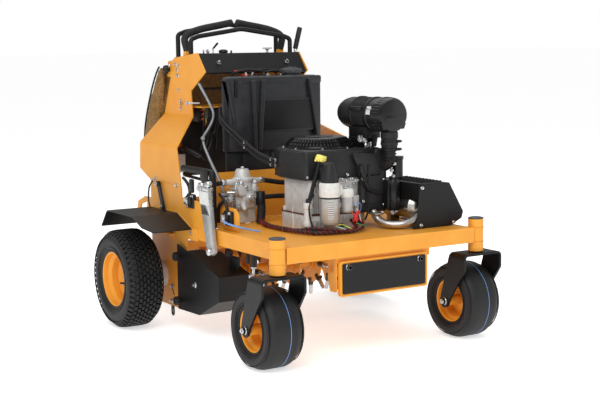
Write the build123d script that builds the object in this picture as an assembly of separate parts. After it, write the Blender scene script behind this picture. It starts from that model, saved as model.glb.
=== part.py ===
# A stand-on turf machine with zero-turn drive: two front casters, two driven rear wheels,
# a vertical-shaft engine on an open deck, a control tower and a lifting tine reel below.
# Millimetres, +Z up. The front of the machine faces -Y and its left-hand side in front view is -X.
# Stations along Y are measured from a datum in the deck, and place() moves them so that the
# origin lies on the ground in the middle of the whole machine.
import os
from math import cos, pi, radians, sin

from build123d import *

# Driving dimensions
FORK_FRONT_Y = -430.0     # front edge of the caster forks
REAR_Y = 1381.0           # rearmost point, the back edge of the operator platform
SIDE_X = 465.0            # outer face of the frame's side plates
DECK_TOP = 497.0
TUBE_HIGH = 65.0          # frame tube height
TUBE_WIDE = 50.0
WALL = 4.0                # frame tube wall

CASTER_X = 500.0
CASTER_Y = -380.0
CASTER_TRAIL = 88.0
CASTER_R = 165.0          # 13 x 6.5-6 tyre
CASTER_WIDE = 170.0
MIDDLE_Y = (CASTER_Y + CASTER_TRAIL - CASTER_R + REAR_Y) / 2
CASTER_RIM_R = 89.0
PIVOT_R = 33.0
PIVOT_LOW = 392.0
PIVOT_HIGH = 536.0
SPINDLE_R = 19.0
RUNNING = 0.05            # radial clearance of a running fit

DRIVE_X = 640.0
DRIVE_Y = 732.0
DRIVE_R = 226.0           # 18 x 7-8 tyre
DRIVE_WIDE = 172.0
DRIVE_RIM_R = 122.0
MOTOR_SHAFT_R = 16.0

COVER_X = 484.0           # outer face of the chain covers
PANEL_X = 280.0           # outer face of the tower's upper side panels
SHEET = 5.0
CRANK_Y = 86.0            # crankshaft axis, on the machine's centre line
PUMP_X = -250.0
PUMP_Y = 335.0

LEVER_Y = 838.0           # drive lever pivots
LEVER_Z = 1196.0
LEVER_X = 257.0
BAR_X = 272.0             # reference bar feet
BAR_R = 11.0

LIFT_Y = 610.0            # tine carrier pivot
LIFT_Z = 330.0
REEL_Y = 255.0
REEL_Z = 298.0
TINE_R = 150.0

FOLD_Y = 1010.0           # platform hinge
FOLD_Z = 205.0

AXES = {"x": Vector(1, 0, 0), "y": Vector(0, 1, 0), "z": Vector(0, 0, 1)}
ACROSS = {"x": (0, 1, 0), "y": (1, 0, 0), "z": (1, 0, 0)}
NORMAL = {"x": (1, 0, 0), "y": (0, -1, 0), "z": (0, 0, 1)}


def place(shape):
    return Pos(0, -MIDDLE_Y, 0) * shape


def group(shapes):
    return Compound(children=[solid for shape in shapes for solid in shape.solids()])


def mirrored(shape):
    return mirror(shape, about=Plane.YZ)


def box(x0, x1, y0, y1, z0, z1):
    middle = Pos((x0 + x1) / 2, (y0 + y1) / 2, (z0 + z1) / 2)
    return middle * Box(abs(x1 - x0), abs(y1 - y0), abs(z1 - z0))


def drawing_plane(axis, level):
    return Plane(origin=AXES[axis] * level, x_dir=ACROSS[axis], z_dir=NORMAL[axis])


def prism(points, axis, low, high, radius=0.0):
    # A flat outline in the plane across the axis, drawn out from low to high.
    if radius:
        outline = FilletPolyline(*points, radius=radius, close=True)
    else:
        outline = Polyline(*points, close=True)
    face = drawing_plane(axis, low) * make_face(outline)
    return extrude(face, amount=high - low, dir=AXES[axis])


def bent_sheet(points, axis, low, high, thick, radius):
    # Sheet metal bent along lines parallel to the axis.
    strip = trace(FilletPolyline(*points, radius=radius), line_width=thick)
    return extrude(drawing_plane(axis, low) * strip, amount=high - low, dir=AXES[axis])


def rod(start, end, radius):
    start, end = Vector(*start), Vector(*end)
    run = end - start
    level = Plane(origin=start, z_dir=run)
    return level * Cylinder(radius, run.length, align=(Align.CENTER, Align.CENTER, Align.MIN))


def disc(centre, axis, radius, thick):
    middle = Vector(*centre)
    half = AXES[axis] * (thick / 2)
    return rod(middle - half, middle + half, radius)


def pipe(points, corner, radius, bore=0.0):
    # A bent tube or hose. corner is one bend radius, or one for each corner.
    path = FilletPolyline(*points, radius=corner)
    end = Plane(origin=path @ 0, z_dir=path % 0)
    section = end * Circle(radius)
    if bore:
        section = section - end * Circle(bore)
    return sweep(section, path=path)


def ring(profile, centre):
    # A body of revolution about an X axis. The profile is (radius, x offset) points.
    outline = Polyline(*profile, close=True)
    level = Plane(origin=(0, 0, 0), x_dir=(0, 0, 1), z_dir=(0, -1, 0))
    face = level * make_face(outline)
    return Pos(*centre) * revolve(face, axis=Axis.X)


# Frame -----------------------------------------------------------------------------------

def square_tube(x0, x1, y0, y1, z0, z1, axis):
    outer = box(x0, x1, y0, y1, z0, z1)
    trim = {"x": (0, WALL, WALL), "y": (WALL, 0, WALL)}[axis]
    inner = box(x0 + trim[0], x1 - trim[0], y0 + trim[1], y1 - trim[1], z0 + trim[2], z1 - trim[2])
    return outer - inner


def front_beam():
    beam = square_tube(-CASTER_X, CASTER_X, CASTER_Y - 24.5, CASTER_Y + 25.5,
                       DECK_TOP - TUBE_HIGH, DECK_TOP, "x")
    for side in (-1, 1):
        beam -= rod((side * CASTER_X, CASTER_Y, PIVOT_LOW), (side * CASTER_X, CASTER_Y, PIVOT_HIGH),
                    PIVOT_R)
        beam -= box(side * CASTER_X - PIVOT_R + 4, side * CASTER_X + PIVOT_R - 4, CASTER_Y - 40,
                    CASTER_Y + 40, PIVOT_LOW, PIVOT_HIGH)
    return beam


def side_beams():
    beam = square_tube(SIDE_X - TUBE_WIDE, SIDE_X, CASTER_Y + 26, 224, DECK_TOP - TUBE_HIGH,
                       DECK_TOP, "y")
    return group([beam, mirrored(beam)])


def caster_pivot_tubes():
    tube = rod((CASTER_X, CASTER_Y, PIVOT_LOW), (CASTER_X, CASTER_Y, PIVOT_HIGH), PIVOT_R)
    tube -= rod((CASTER_X, CASTER_Y, PIVOT_LOW), (CASTER_X, CASTER_Y, PIVOT_HIGH - 6),
                SPINDLE_R + RUNNING)
    gusset = box(SIDE_X - TUBE_WIDE, CASTER_X - 20, CASTER_Y + 26, CASTER_Y + 50, DECK_TOP - 60,
                 DECK_TOP - 5)
    gusset = gusset - box(0, SIDE_X + 0.2, CASTER_Y, CASTER_Y + 60, 300, 600)
    tube = tube + gusset
    return group([tube, mirrored(tube)])


def engine_deck():
    half = SIDE_X - TUBE_WIDE
    deck = box(-half, half, CASTER_Y + 26, 439, DECK_TOP - 6, DECK_TOP)
    deck -= rod((0, CRANK_Y, 480), (0, CRANK_Y, 500), 60)
    deck -= rod((PUMP_X, PUMP_Y, 480), (PUMP_X, PUMP_Y, 500), 40)
    return deck


def lower_side_plates():
    outline = [(836, 659), (836, 300), (760, 90), (482, 90), (468, 432), (262, 432), (262, 605),
               (515, 605), (519, 659)]
    plate = prism(outline, "x", SIDE_X - 6, SIDE_X, 8)
    hook = prism([(836, 575), (905, 575), (985, 545), (1000, 470), (880, 420), (836, 420)], "x",
                 SIDE_X - 6, SIDE_X, 3)
    hook -= prism([(880, 555), (950, 532), (965, 480), (895, 470)], "x", SIDE_X - 8, SIDE_X + 2, 8)
    plate -= rod((SIDE_X - 10, DRIVE_Y, DRIVE_R), (SIDE_X + 10, DRIVE_Y, DRIVE_R), 62)
    ledge = bent_sheet([(SIDE_X + 2, 402), (SIDE_X + 2, 432), (SIDE_X + 30, 432)], "y", 590, 800, 4, 3)
    stiffener = prism([(352, 480), (352, 425), (575, 425), (575, 480)], "x", SIDE_X, SIDE_X + 5, 12)
    plate = plate + stiffener + ledge
    return group([plate, hook, mirrored(plate), mirrored(hook)])


def tower_panel():
    # Bent sheet, cut to one outline seen from the side.
    low_x, high_x = SIDE_X - SHEET / 2, PANEL_X - SHEET / 2
    sheet = bent_sheet([(-high_x, 1300), (-high_x, 958), (-low_x, 831), (-low_x, 600)], "y", 400, 1100,
                       SHEET, 14)
    outline = [(691, 1251), (613, 1162), (764, 1072), (751, 960), (557, 832), (519, 660), (836, 660),
               (952, 709), (944, 832), (1048, 961), (936, 1227)]
    panel = sheet & prism(outline, "x", -600, 0, 4)
    slot = prism([(975, 1184), (1003, 1150), (1003, 1196), (985, 1204)], "x", -600, 0, 3)
    tab = prism([(925, 1218), (1000, 1212), (1012, 1136), (950, 1136)], "x", -PANEL_X, SHEET - PANEL_X, 8)
    return panel + (tab - slot)


def tower_cross_members():
    half = SIDE_X - SHEET
    rear_plate = box(-half, half, 926, 931, 752, 838)
    corner = prism([(half, 700), (half, 812), (half - 60, 856), (half - 60, 900), (half + 40, 900),
                    (half + 40, 700)], "y", 900, 950)
    rear_plate = rear_plate - corner - mirrored(corner)
    front_plate = box(-half + 1, half - 1, 440, 445, DECK_TOP, 604)
    front_plate += box(-330, 330, 440, 445, 604, 715)
    low_tube = square_tube(-half + 1, half - 1, 660, 700, 540, 580, "x")
    axle_tube = square_tube(-half + 1, half - 1, 800, 850, 300, 350, "x")
    hook = box(196, 204, 931, PAD_HINGE_Y, 760, 800)
    hook -= rod((190, PAD_HINGE_Y, PAD_HINGE_Z), (210, PAD_HINGE_Y, PAD_HINGE_Z), 12 + RUNNING)
    rear_plate = rear_plate + hook + mirrored(hook)
    shelf = box(-262, 262, 690, 924, 995, 1000)
    shelf = shelf - box(-160, 160, 730, 880, 990, 1005)
    return group([rear_plate, front_plate, low_tube, axle_tube, shelf])


def front_bracket():
    outer = prism([(-222, 271), (222, 271), (222, 417), (-222, 417)], "y", -400, -388, 14)
    hanger = prism([(-388, 431), (-388, 290), (-345, 290), (-330, 340), (-330, 431)], "x", -232, -226, 6)
    hanger -= rod((-240, -360, 385), (-220, -360, 385), 16)
    side = prism([(-388, 431), (-388, 400), (-330, 400), (-330, 431)], "x", 236, 242, 4)
    shelf = box(-226, 226, -387.5, -330, 300, 305)
    wing = box(-232, 242, -387.9, -382, 410, 431)
    return outer + hanger + mirrored(hanger) + side + shelf + wing


def front_panel():
    return prism([(-208, 283), (208, 283), (208, 406), (-208, 406)], "y", -404, -400.2, 6)


def chain_covers():
    outline = [(534, 396), (140, 300), (144, 188), (326, 101), (536, 95)]
    inside = [(580, 396), (534, 392), (145, 296), (149, 191), (327, 106), (536, 100), (580, 100)]
    shell = prism(outline, "x", -COVER_X, -330, 5) - prism(inside, "x", -480, -320)
    shell -= box(-480, -320, 440, 700, 80, 500)
    notch = box(-400, -320, 400, 600, 320, 420)
    shell -= notch
    shell -= rod((-500, 365, 230), (-470, 365, 230), 13)
    shell -= box(SIDE_X * -1 - 0.5, -320, 90, 640, 0, 500) & prism(
        [(836, 700), (760, 88), (480, 88), (466, 432), (466, 700)], "x", -466, -458)
    return group([shell, mirrored(shell)])


def fenders():
    sheet = bent_sheet([(408, 474), (550, 532), (833, 532), (902, 452)], "x", -693, -472, 4, 25)
    corner = prism([(-700, 380), (-640, 380), (-700, 470)], "z", 440, 560)
    sheet -= corner
    arm = prism([(744, 664), (716, 664), (662, 534), (690, 534)], "x", -482, -474, 6)
    return group([sheet, mirrored(sheet), arm, mirrored(arm)])


# Tower -----------------------------------------------------------------------------------

def console_housing():
    outer = [(692, 1249), (622, 1158), (640, 1146), (925, 1146), (933, 1225)]
    inner = [(694, 1245), (628, 1159), (628, 1100), (929, 1100), (929, 1222)]
    half = PANEL_X - SHEET - 1
    shell = prism(outer, "x", -half, half, 4) - prism(inner, "x", 3 - half, half - 3)
    for side in (-1, 1):
        shell -= box(side * LEVER_X - 20, side * LEVER_X + 20, LEVER_Y - 52, LEVER_Y + 52, 1140, 1260)
    shell -= rod((THROTTLE[0], THROTTLE[1], 1180), (THROTTLE[0], THROTTLE[1], 1300), 14)
    for x, y, radius in (KEY, CHOKE):
        shell -= rod((x, y, 1180), (x, y, 1300), radius + 0.6)
    return shell


KEY = (-182.0, 770.0, 9.0)
CHOKE = (150.0, 780.0, 6.0)
THROTTLE = (-138.0, 800.0)
BRAKE = (296.0, 745.0, 1205.0)


def console_top(y):
    # Height of the console's top sheet, which falls slightly to the rear.
    return 1249 - (y - 692) * 24 / 241


def reference_bars():
    bars = []
    for y, peak, shoulder in ((768, 1362, 1326), (902, 1386, 1350)):
        foot = console_top(y) + 4
        half = [(-BAR_X, y, foot), (-BAR_X, y, shoulder - 12), (-BAR_X + 40, y, shoulder + 2),
                (0, y, peak), (BAR_X - 40, y, shoulder + 2), (BAR_X, y, shoulder - 12), (BAR_X, y, foot)]
        bar = pipe(half, [20, 30, 120, 30, 20], BAR_R)
        for side in (-1, 1):
            bar += rod((side * 268, y, console_top(y) + 0.6), (side * 268, y, foot + 5), 4.5)
        bars.append(bar)
    return group(bars)


def lever_path(side, low):
    return [(side * LEVER_X, LEVER_Y, low), (side * LEVER_X, LEVER_Y, 1268),
            (side * (LEVER_X + 16), LEVER_Y, 1324), (side * (LEVER_X - 60), LEVER_Y, 1358),
            (side * 14, LEVER_Y, 1393)]


def drive_lever(side):
    arm = pipe(lever_path(side, LEVER_Z + 14), [60, 34, 60], 9)
    clamp = box(side * LEVER_X - 13, side * LEVER_X + 13, LEVER_Y - 11, LEVER_Y + 11, LEVER_Z - 16,
                1247.5)
    clamp = clamp - rod((side * LEVER_X - 20, LEVER_Y, LEVER_Z), (side * LEVER_X + 20, LEVER_Y, LEVER_Z),
                        8 + RUNNING)
    return clamp + arm


def lever_grip(side):
    return pipe(lever_path(side, 1248), [60, 34, 60], 17.5, 9)


def brake_lever():
    x, y, z = BRAKE
    blade = prism([(y - 11, z - 12), (y + 11, z - 12), (y + 18, 1268), (y + 4, 1268)], "x", x - 3, x + 3, 3)
    blade -= rod((x - 10, y, z), (x + 10, y, z), 6 + RUNNING)
    grip = rod((x - 2, y + 8, 1264), (x + 22, y + 2, 1368), 12)
    return blade + grip


def lever_pins():
    pins = []
    for side in (-1, 1):
        inner, outer = side * (LEVER_X - 26), side * (PANEL_X - SHEET - 4)
        pins.append(rod((inner, LEVER_Y, LEVER_Z), (outer, LEVER_Y, LEVER_Z), 8))
        pins.append(box(min(inner, inner - side * 6), max(inner, inner - side * 6), LEVER_Y - 14,
                        LEVER_Y + 14, 1152, LEVER_Z + 14))
    x, y, z = BRAKE
    pins.append(rod((PANEL_X, y, z), (x + 10, y, z), 6))
    return pins


def throttle_lever():
    x, y = THROTTLE
    top = console_top(y)
    stem = rod((x, y, top - 18), (x, y, top + 30), 2.5)
    knee = rod((x, y, top + 29), (x + 24, y, top + 56), 5)
    barrel = rod((x - 8, y, 1225), (x + 8, y, 1225), 5)
    return stem + knee + barrel


def ignition_key():
    x, y, radius = KEY
    top = console_top(y)
    return rod((x, y, top - 14), (x, y, top + 3), radius) + box(x - 9, x + 9, y - 1.5, y + 1.5, top + 2,
                                                              top + 26)


def choke_knob():
    x, y, radius = CHOKE
    top = console_top(y)
    stem = rod((x, y, top - 40), (x, y, top + 22), radius)
    return stem + rod((x, y, top + 20), (x, y, top + 34), 24)


def fuel_tank():
    plan = [(-175, 466), (175, 466), (284, 494), (262, 560), (190, 640), (-165, 640), (-190, 602),
            (-262, 494)]
    tank = prism(plan, "z", 800, 1142, 14)
    tank = fillet(tank.faces().sort_by(Axis.Z)[-1].edges(), 14)
    neck = rod((150, 565, 1130), (150, 565, 1152), 44)
    hollow = prism([(x * 0.97, (y - 560) * 0.94 + 560) for x, y in plan], "z", 806, 1136, 12)
    base = prism([(-246, 500), (246, 500), (180, 600), (160, 636), (-160, 636), (-180, 600)], "z", 640,
                 799.5, 12)
    base -= box(-152, 152, 508, 628, 648, 792)
    return group([tank + neck - hollow, base])


def fuel_cap():
    cap = rod((150, 565, 1153), (150, 565, 1172), 52)
    return cap + rod((150, 565, 1172), (150, 565, 1180), 30)


# Engine ----------------------------------------------------------------------------------

HOUSING = [(-195, -111), (195, -111), (195, 90), (160, 205), (80, 262), (-80, 262), (-160, 205),
           (-195, 98)]


def engine_block():
    pan = prism([(-172, -105), (-120, -135), (60, -135), (120, -90), (150, 120), (90, 225), (-100, 225),
                 (-172, 120)], "z", DECK_TOP, 560, 12)
    case = prism([(-165, -98), (-110, -104), (110, -104), (140, 110), (80, 215), (-90, 215), (-165, 110)],
                 "z", 560, 716, 12)
    block = pan + case
    block -= rod((0, CRANK_Y, 480), (0, CRANK_Y, 900), 22)
    return block


def blower_housing():
    hood = prism(HOUSING, "z", 717, 838, 16)
    hollow = prism([(x * 0.96, (y - 75) * 0.96 + 75) for x, y in HOUSING], "z", 700, 834, 14)
    hood -= hollow
    hood -= rod((0, CRANK_Y, 820), (0, CRANK_Y, 850), 120)
    skirt = prism([(66, -132), (205, -132), (205, 60), (150, 60), (150, -108), (66, -108)], "z", 562, 716,
                  6)
    return hood + skirt + box(66, 205, -132, -108, 715, 760)


def fan_cover():
    cover = rod((0, CRANK_Y, 838.5), (0, CRANK_Y, 862), 152) + rod((0, CRANK_Y, 862), (0, CRANK_Y, 884), 118)
    cover = chamfer(cover.faces().sort_by(Axis.Z)[-1].edges(), 12)
    cover -= rod((0, CRANK_Y, 830), (0, CRANK_Y, 876), 112)
    for turn in range(12):
        slot = Pos(0, CRANK_Y, 0) * Rot(0, 0, turn * 30) * box(119, 146, -7, 7, 830, 870)
        cover -= slot
    return cover


def starter_motor():
    x, y = -127, -188
    motor = rod((x, y, 544), (x, y, 660), 42) + rod((x, y, 660), (x, y, 716), 46)
    solenoid = rod((-38, -180, 580), (-38, -180, 683), 30)
    strap = box(x, -38, -182, -170, 600, 625)
    foot = box(-150, -92, -150, -136, 520, 560) + box(-150, -92, -190, -136, 530, 545)
    return motor + strap + solenoid + foot


def dipstick_tube():
    y = -136
    tube = rod((-200, y, 620), (-138, y, 800), 9)
    socket = rod((-206, y, 552), (-199, y, 628), 17)
    foot = box(-214, -173, y - 16, -90, 530, 560)
    cap = rod((-140, y, 794), (-131, y, 820), 22)
    return tube + socket + foot + cap


AIR_X = 198.0
AIR_Z = 980.0


def air_cleaner():
    body = rod((AIR_X, -130, AIR_Z), (AIR_X, 165, AIR_Z), 73)
    cap = rod((AIR_X, -200, AIR_Z), (AIR_X, -130.5, AIR_Z), 77)
    bands = [disc((AIR_X, y, AIR_Z), "y", 76, 18) for y in (-60, 60)]
    shell = body + bands[0] + bands[1]
    return group([shell, cap, air_cleaner_bracket()])


def air_cleaner_bracket():
    saddle = box(AIR_X - 62, AIR_X + 10, -70, 72, 880, 925)
    saddle -= rod((AIR_X, -80, AIR_Z), (AIR_X, 80, AIR_Z), 76.3)
    leg = prism([(AIR_X - 62, 839), (AIR_X - 12, 839), (AIR_X - 12, 884), (AIR_X - 62, 884)], "y", -40, 60)
    leg -= rod((0, CRANK_Y, 830), (0, CRANK_Y, 900), 155)
    return saddle + leg


def intake_stack():
    x, y = AIR_X - 10, -166
    stack = rod((x, y, 846), (x, y, 902.2), 37)
    collar = rod((x, y, 870), (x, y, 892), 42)
    elbow = pipe([(x, y, 847), (x, y, 776), (x + 2, -134, 760)], [22], 28)
    canister = rod((x + 48, y + 6, 700), (x + 48, y + 6, 790), 24)
    can_two = rod((x + 22, y + 2, 585), (x + 22, y + 2, 698), 26)
    link = box(x + 20, x + 50, y - 6, y + 12, 690, 715)
    return stack + collar + elbow + canister + can_two + link


def muffler():
    x, z = 303, 583
    can = rod((x, -262, z), (x, 5, z), 57)
    can = fillet(can.edges().filter_by(GeomType.CIRCLE), 22)
    feet = box(x - 28, x + 28, -215, -185, DECK_TOP, 540) + box(x - 28, x + 28, -60, -30, DECK_TOP, 540)
    pipe_run = pipe([(124, -165, 560), (124, -165, 524), (146, -232, 516), (205, -276, 524),
                     (262, -280, 552), (x, -258, z)], [14, 34, 30, 24], 17)
    flange = box(98, 150, -190, -136, 552, 561)
    return can + feet + pipe_run + flange


def muffler_guard():
    skin = bent_sheet([(254, 689), (415, 685), (492, 556), (484, 528), (425, 500)], "y", -302, 15, 3, 6)
    louvres = [box(290, 395, y, y + 9, 600, 720) for y in range(-270, -10, 24)]
    for gap in louvres:
        skin -= gap
    face = prism([(254, 688), (415, 684), (490, 556), (482, 529), (425, 500), (213, 498.5), (239, 532)],
                 "y", -305, -302, 4)
    foot = box(380, 425, -302, 15, 498, 501)
    return skin + face + foot


# Drive -----------------------------------------------------------------------------------

def hydro_pumps():
    x, y = PUMP_X, PUMP_Y
    body = box(x - 62, x + 62, y - 45, y + 45, 560, 648) + box(x - 48, x + 48, y - 38, y + 38, DECK_TOP, 560)
    head = rod((x, y, 648), (x, y, 700), 42) + rod((x, y, 700), (x, y, 737), 30)
    ports = rod((x - 100, y, 680), (x + 100, y, 680), 13) + rod((x - 84, y, 610), (x + 84, y, 610), 15)
    body = body + head + ports
    body -= rod((x, y, 480), (x, y, 540), 11 + RUNNING)
    return body


def wheel_motors():
    motor = rod((SIDE_X - 70, DRIVE_Y, DRIVE_R), (SIDE_X + 28, DRIVE_Y, DRIVE_R), 61.5)
    shaft = rod((SIDE_X + 28, DRIVE_Y, DRIVE_R), (DRIVE_X - 12, DRIVE_Y, DRIVE_R), MOTOR_SHAFT_R)
    motor = motor + shaft
    return group([motor, mirrored(motor)])


def hydraulic_filter():
    return rod((-340, 800, 690), (-340, 800, 778), 37) + rod((-340, 800, 778), (-340, 800, 800), 30)


def lift_actuator():
    blade = prism([(200, 664), (290, 668), (222, 402), (190, 382), (160, 402)], "x", -496, -472, 12)
    cap = box(-500, -470, 196, 296, 672, 688)
    bolt = rod((-512, 188, 404), (-466, 188, 404), 14)
    return blade + cap + bolt


def control_tube_frame():
    return pipe([(-449, 520, 738), (-449, 243, 738), (-449, 243, 392)], [34], 16)


def hoses():
    upper = pipe([(PUMP_X + 101, PUMP_Y, 664), (-90, PUMP_Y, 660), (-10, 352, 655), (90, 352, 655),
                  (190, 330, 640), (210, 330, 499)], [30, 30, 30, 20], 11)
    lower = pipe([(PUMP_X + 86, PUMP_Y - 22, 612), (-100, PUMP_Y - 22, 606), (-20, 318, 600),
                  (90, 318, 596), (160, 300, 585), (172, 300, 500)], [30, 30, 30, 20], 11)
    drop = pipe([(PUMP_X + 40, PUMP_Y - 64, 640), (PUMP_X + 52, PUMP_Y - 96, 600), (PUMP_X + 30, PUMP_Y - 100, 503)],
                [40], 19)
    return group([upper, lower, drop])


def fuel_hoses():
    lines = []
    for drop in (0, 22):
        line = pipe([(-246, 545, 1002 - drop), (-268, 492, 950 - drop), (-232, 430, 892 - drop),
                     (-224, 350, 851 - drop), (-212, 262, 811 - drop), (-206, 131, 786 - drop)],
                    [40, 50, 60, 70], 7)
        lines.append(line + rod((-207, 132, 786 - drop), (-187, 132, 786 - drop), 8))
    return group(lines)


def wiring_loom():
    # Held on the deck round the engine, from the pump side to the starter.
    z = DECK_TOP + 9
    route = [(-262, 250, z), (-268, 150, z), (-250, 20, z), (-236, -110, z), (-180, -232, z),
             (-60, -262, z), (40, -245, z), (80, -190, z)]
    return pipe(route, [60, 90, 80, 50, 60, 50], 8)


def drive_belt():
    outer = hull_loop(54)
    inner = hull_loop(44)
    return extrude(Pos(0, 0, BELT_Z - 6) * (outer - inner), amount=12)


def hull_loop(reach):
    # The flat loop of a belt round the two pulleys, at a distance outside both of their axes.
    crank = Pos(0, CRANK_Y) * Circle(reach)
    pump = Pos(PUMP_X, PUMP_Y) * Circle(reach)
    return make_hull((crank + pump).edges())


BELT_Z = 462.0


def grooved_pulley(x, y):
    wheel = rod((x, y, BELT_Z - 10), (x, y, BELT_Z + 10), 50) - (
        rod((x, y, BELT_Z - 7), (x, y, BELT_Z + 7), 70) - rod((x, y, BELT_Z - 7), (x, y, BELT_Z + 7), 43.6))
    return wheel


def crank_pulley():
    shaft = rod((0, CRANK_Y, BELT_Z - 14), (0, CRANK_Y, 800), 22 - RUNNING)
    fan = rod((0, CRANK_Y, 790), (0, CRANK_Y, 812), 60)
    screen = rod((0, CRANK_Y, 812), (0, CRANK_Y, 866), 100) - rod((0, CRANK_Y, 815), (0, CRANK_Y, 870), 97)
    return grooved_pulley(0, CRANK_Y) + shaft + fan + screen


def pump_pulley():
    shaft = rod((PUMP_X, PUMP_Y, BELT_Z - 14), (PUMP_X, PUMP_Y, 538), 11)
    return grooved_pulley(PUMP_X, PUMP_Y) + shaft


# Wheels ----------------------------------------------------------------------------------

def tyre(x, y, radius, wide, bead_r, tread_drop):
    half = wide / 2
    profile = [(bead_r, -half + 16), (bead_r + 12, -half + 8), (radius * 0.8, -half),
               (radius - 22, -half + 4), (radius - tread_drop, -half + 20), (radius, -half + 44),
               (radius, half - 44), (radius - tread_drop, half - 20), (radius - 22, half - 4),
               (radius * 0.8, half), (bead_r + 12, half - 8), (bead_r, half - 16),
               (bead_r, half - 20), (radius - 26, half - 16), (radius - 26, 16 - half), (bead_r, 20 - half)]
    return ring(profile, (x, y, radius))


def rim(x, y, z, wide, rim_r, hub_r, bore_r, dish):
    # A spun steel wheel: a barrel with a flange each side, a dished web and a hub tube.
    half = wide / 2 - 16
    barrel = [(rim_r, -half), (rim_r, half), (rim_r - 4, half), (rim_r - 12, half - 24),
              (rim_r - 12, 24 - half), (rim_r - 4, -half)]
    web = [(hub_r - 4, dish - 3), (rim_r - 10, dish - 9), (rim_r - 10, dish - 3), (hub_r - 4, dish + 3)]
    hub = [(bore_r, dish - 30), (hub_r, dish - 30), (hub_r, dish + 30), (bore_r, dish + 30)]
    centre = (x, y, z)
    return ring(barrel, centre) + ring(web, centre) + ring(hub, centre)


def caster_rim(x, y):
    wheel = rim(x, y, CASTER_R, CASTER_WIDE, CASTER_RIM_R, 24, 9.5 + RUNNING, 0)
    hub = ring([(9.5 + RUNNING, -82), (22, -82), (22, 82), (9.5 + RUNNING, 82)], (x, y, CASTER_R))
    return wheel + hub


def drive_rim(side):
    wheel = rim(DRIVE_X, DRIVE_Y, DRIVE_R, DRIVE_WIDE, DRIVE_RIM_R, 42, MOTOR_SHAFT_R + RUNNING, -30)
    nuts = [Pos(DRIVE_X - 22, DRIVE_Y + 50 * cos(turn * pi / 2 + pi / 4),
                DRIVE_R + 50 * sin(turn * pi / 2 + pi / 4)) * Rot(0, 90, 0)
            * Cylinder(11, 17, align=(Align.CENTER, Align.CENTER, Align.MIN)) for turn in range(4)]
    plate = ring([(MOTOR_SHAFT_R + RUNNING, -34), (66, -34), (66, -22), (MOTOR_SHAFT_R + RUNNING, -22)],
                 (DRIVE_X, DRIVE_Y, DRIVE_R))
    wheel = wheel + plate
    for nut in nuts:
        wheel = wheel + nut
    return wheel if side > 0 else mirrored(wheel)


def caster_fork(side):
    x = side * CASTER_X
    gap, thick = 93.0, 10.0
    top = 387.0
    bend = bent_sheet([(x - gap - thick / 2, 120), (x - gap - thick / 2, top - thick / 2),
                       (x + gap + thick / 2, top - thick / 2), (x + gap + thick / 2, 120)], "y",
                      FORK_FRONT_Y, FORK_FRONT_Y + 200, thick, 16)
    axle_y = CASTER_Y + CASTER_TRAIL
    outline = [(FORK_FRONT_Y, top + 1), (FORK_FRONT_Y + 100, top + 1), (axle_y + 29, CASTER_R + 6),
               (axle_y + 22, CASTER_R - 20), (axle_y, CASTER_R - 30), (axle_y - 22, CASTER_R - 20),
               (axle_y - 30, CASTER_R + 2), (FORK_FRONT_Y, top - 70)]
    fork = bend & prism(outline, "x", x - 200, x + 200, 7)
    fork += rod((x, CASTER_Y, top - 2), (x, CASTER_Y, PIVOT_HIGH - 8), SPINDLE_R)
    fork += rod((x, CASTER_Y, top - 1), (x, CASTER_Y, PIVOT_LOW - 0.4), 27)
    fork += rod((x - gap - thick - 12, axle_y, CASTER_R), (x + gap + thick + 12, axle_y, CASTER_R), 9.5)
    for end in (-1, 1):
        fork += rod((x + end * (gap + thick - 1), axle_y, CASTER_R),
                    (x + end * (gap + thick + 10), axle_y, CASTER_R), 15)
    return fork


# Tines, platform and pad -----------------------------------------------------------------

def tine_carrier():
    arm = prism([(LIFT_Y + 28, LIFT_Z + 22), (LIFT_Y + 28, LIFT_Z - 26), (REEL_Y - 10, REEL_Z - 34),
                 (REEL_Y - 34, REEL_Z), (REEL_Y - 10, REEL_Z + 34), (LIFT_Y - 120, LIFT_Z + 40)], "x",
                312, 322, 10)
    arm -= rod((300, REEL_Y, REEL_Z), (330, REEL_Y, REEL_Z), 18 + RUNNING)
    arm -= rod((300, LIFT_Y, LIFT_Z), (330, LIFT_Y, LIFT_Z), 16 + RUNNING)
    cross = rod((-313, 452, 338), (313, 452, 338), 24)
    return arm + mirrored(arm) + cross


def lift_pivots():
    pin = rod((SIDE_X - 6, LIFT_Y, LIFT_Z), (304, LIFT_Y, LIFT_Z), 16)
    return [pin, mirrored(pin)]


def tine_reel():
    shaft = rod((-320, REEL_Y, REEL_Z), (320, REEL_Y, REEL_Z), 18)
    reel = shaft
    for lane in range(6):
        x = -275 + lane * 110
        reel += disc((x, REEL_Y, REEL_Z), "x", 92, 8)
        for tine in range(8):
            turn = radians(tine * 45 + lane * 15)
            reach = Vector(0, cos(turn), sin(turn))
            axis_point = Vector(x, REEL_Y, REEL_Z)
            reel += rod(axis_point + reach * 78, axis_point + reach * TINE_R, 9)
    return reel


def operator_platform():
    # A folded tray, hinged at its front edge.
    tray = box(-280, 280, FOLD_Y + 20, REAR_Y, FOLD_Z - 14, FOLD_Z + 6)
    tray -= box(-272, 272, FOLD_Y + 28, REAR_Y - 8, FOLD_Z - 20, FOLD_Z)
    lip = box(-280, 280, REAR_Y - 5, REAR_Y, FOLD_Z - 14, FOLD_Z + 28)
    knuckle = rod((-240, FOLD_Y, FOLD_Z), (240, FOLD_Y, FOLD_Z), 14) - rod(
        (-245, FOLD_Y, FOLD_Z), (245, FOLD_Y, FOLD_Z), 8 + RUNNING)
    tie = box(-230, 230, FOLD_Y + 11, FOLD_Y + 22, FOLD_Z - 6, FOLD_Z + 6)
    return tray + lip + knuckle + tie


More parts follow.
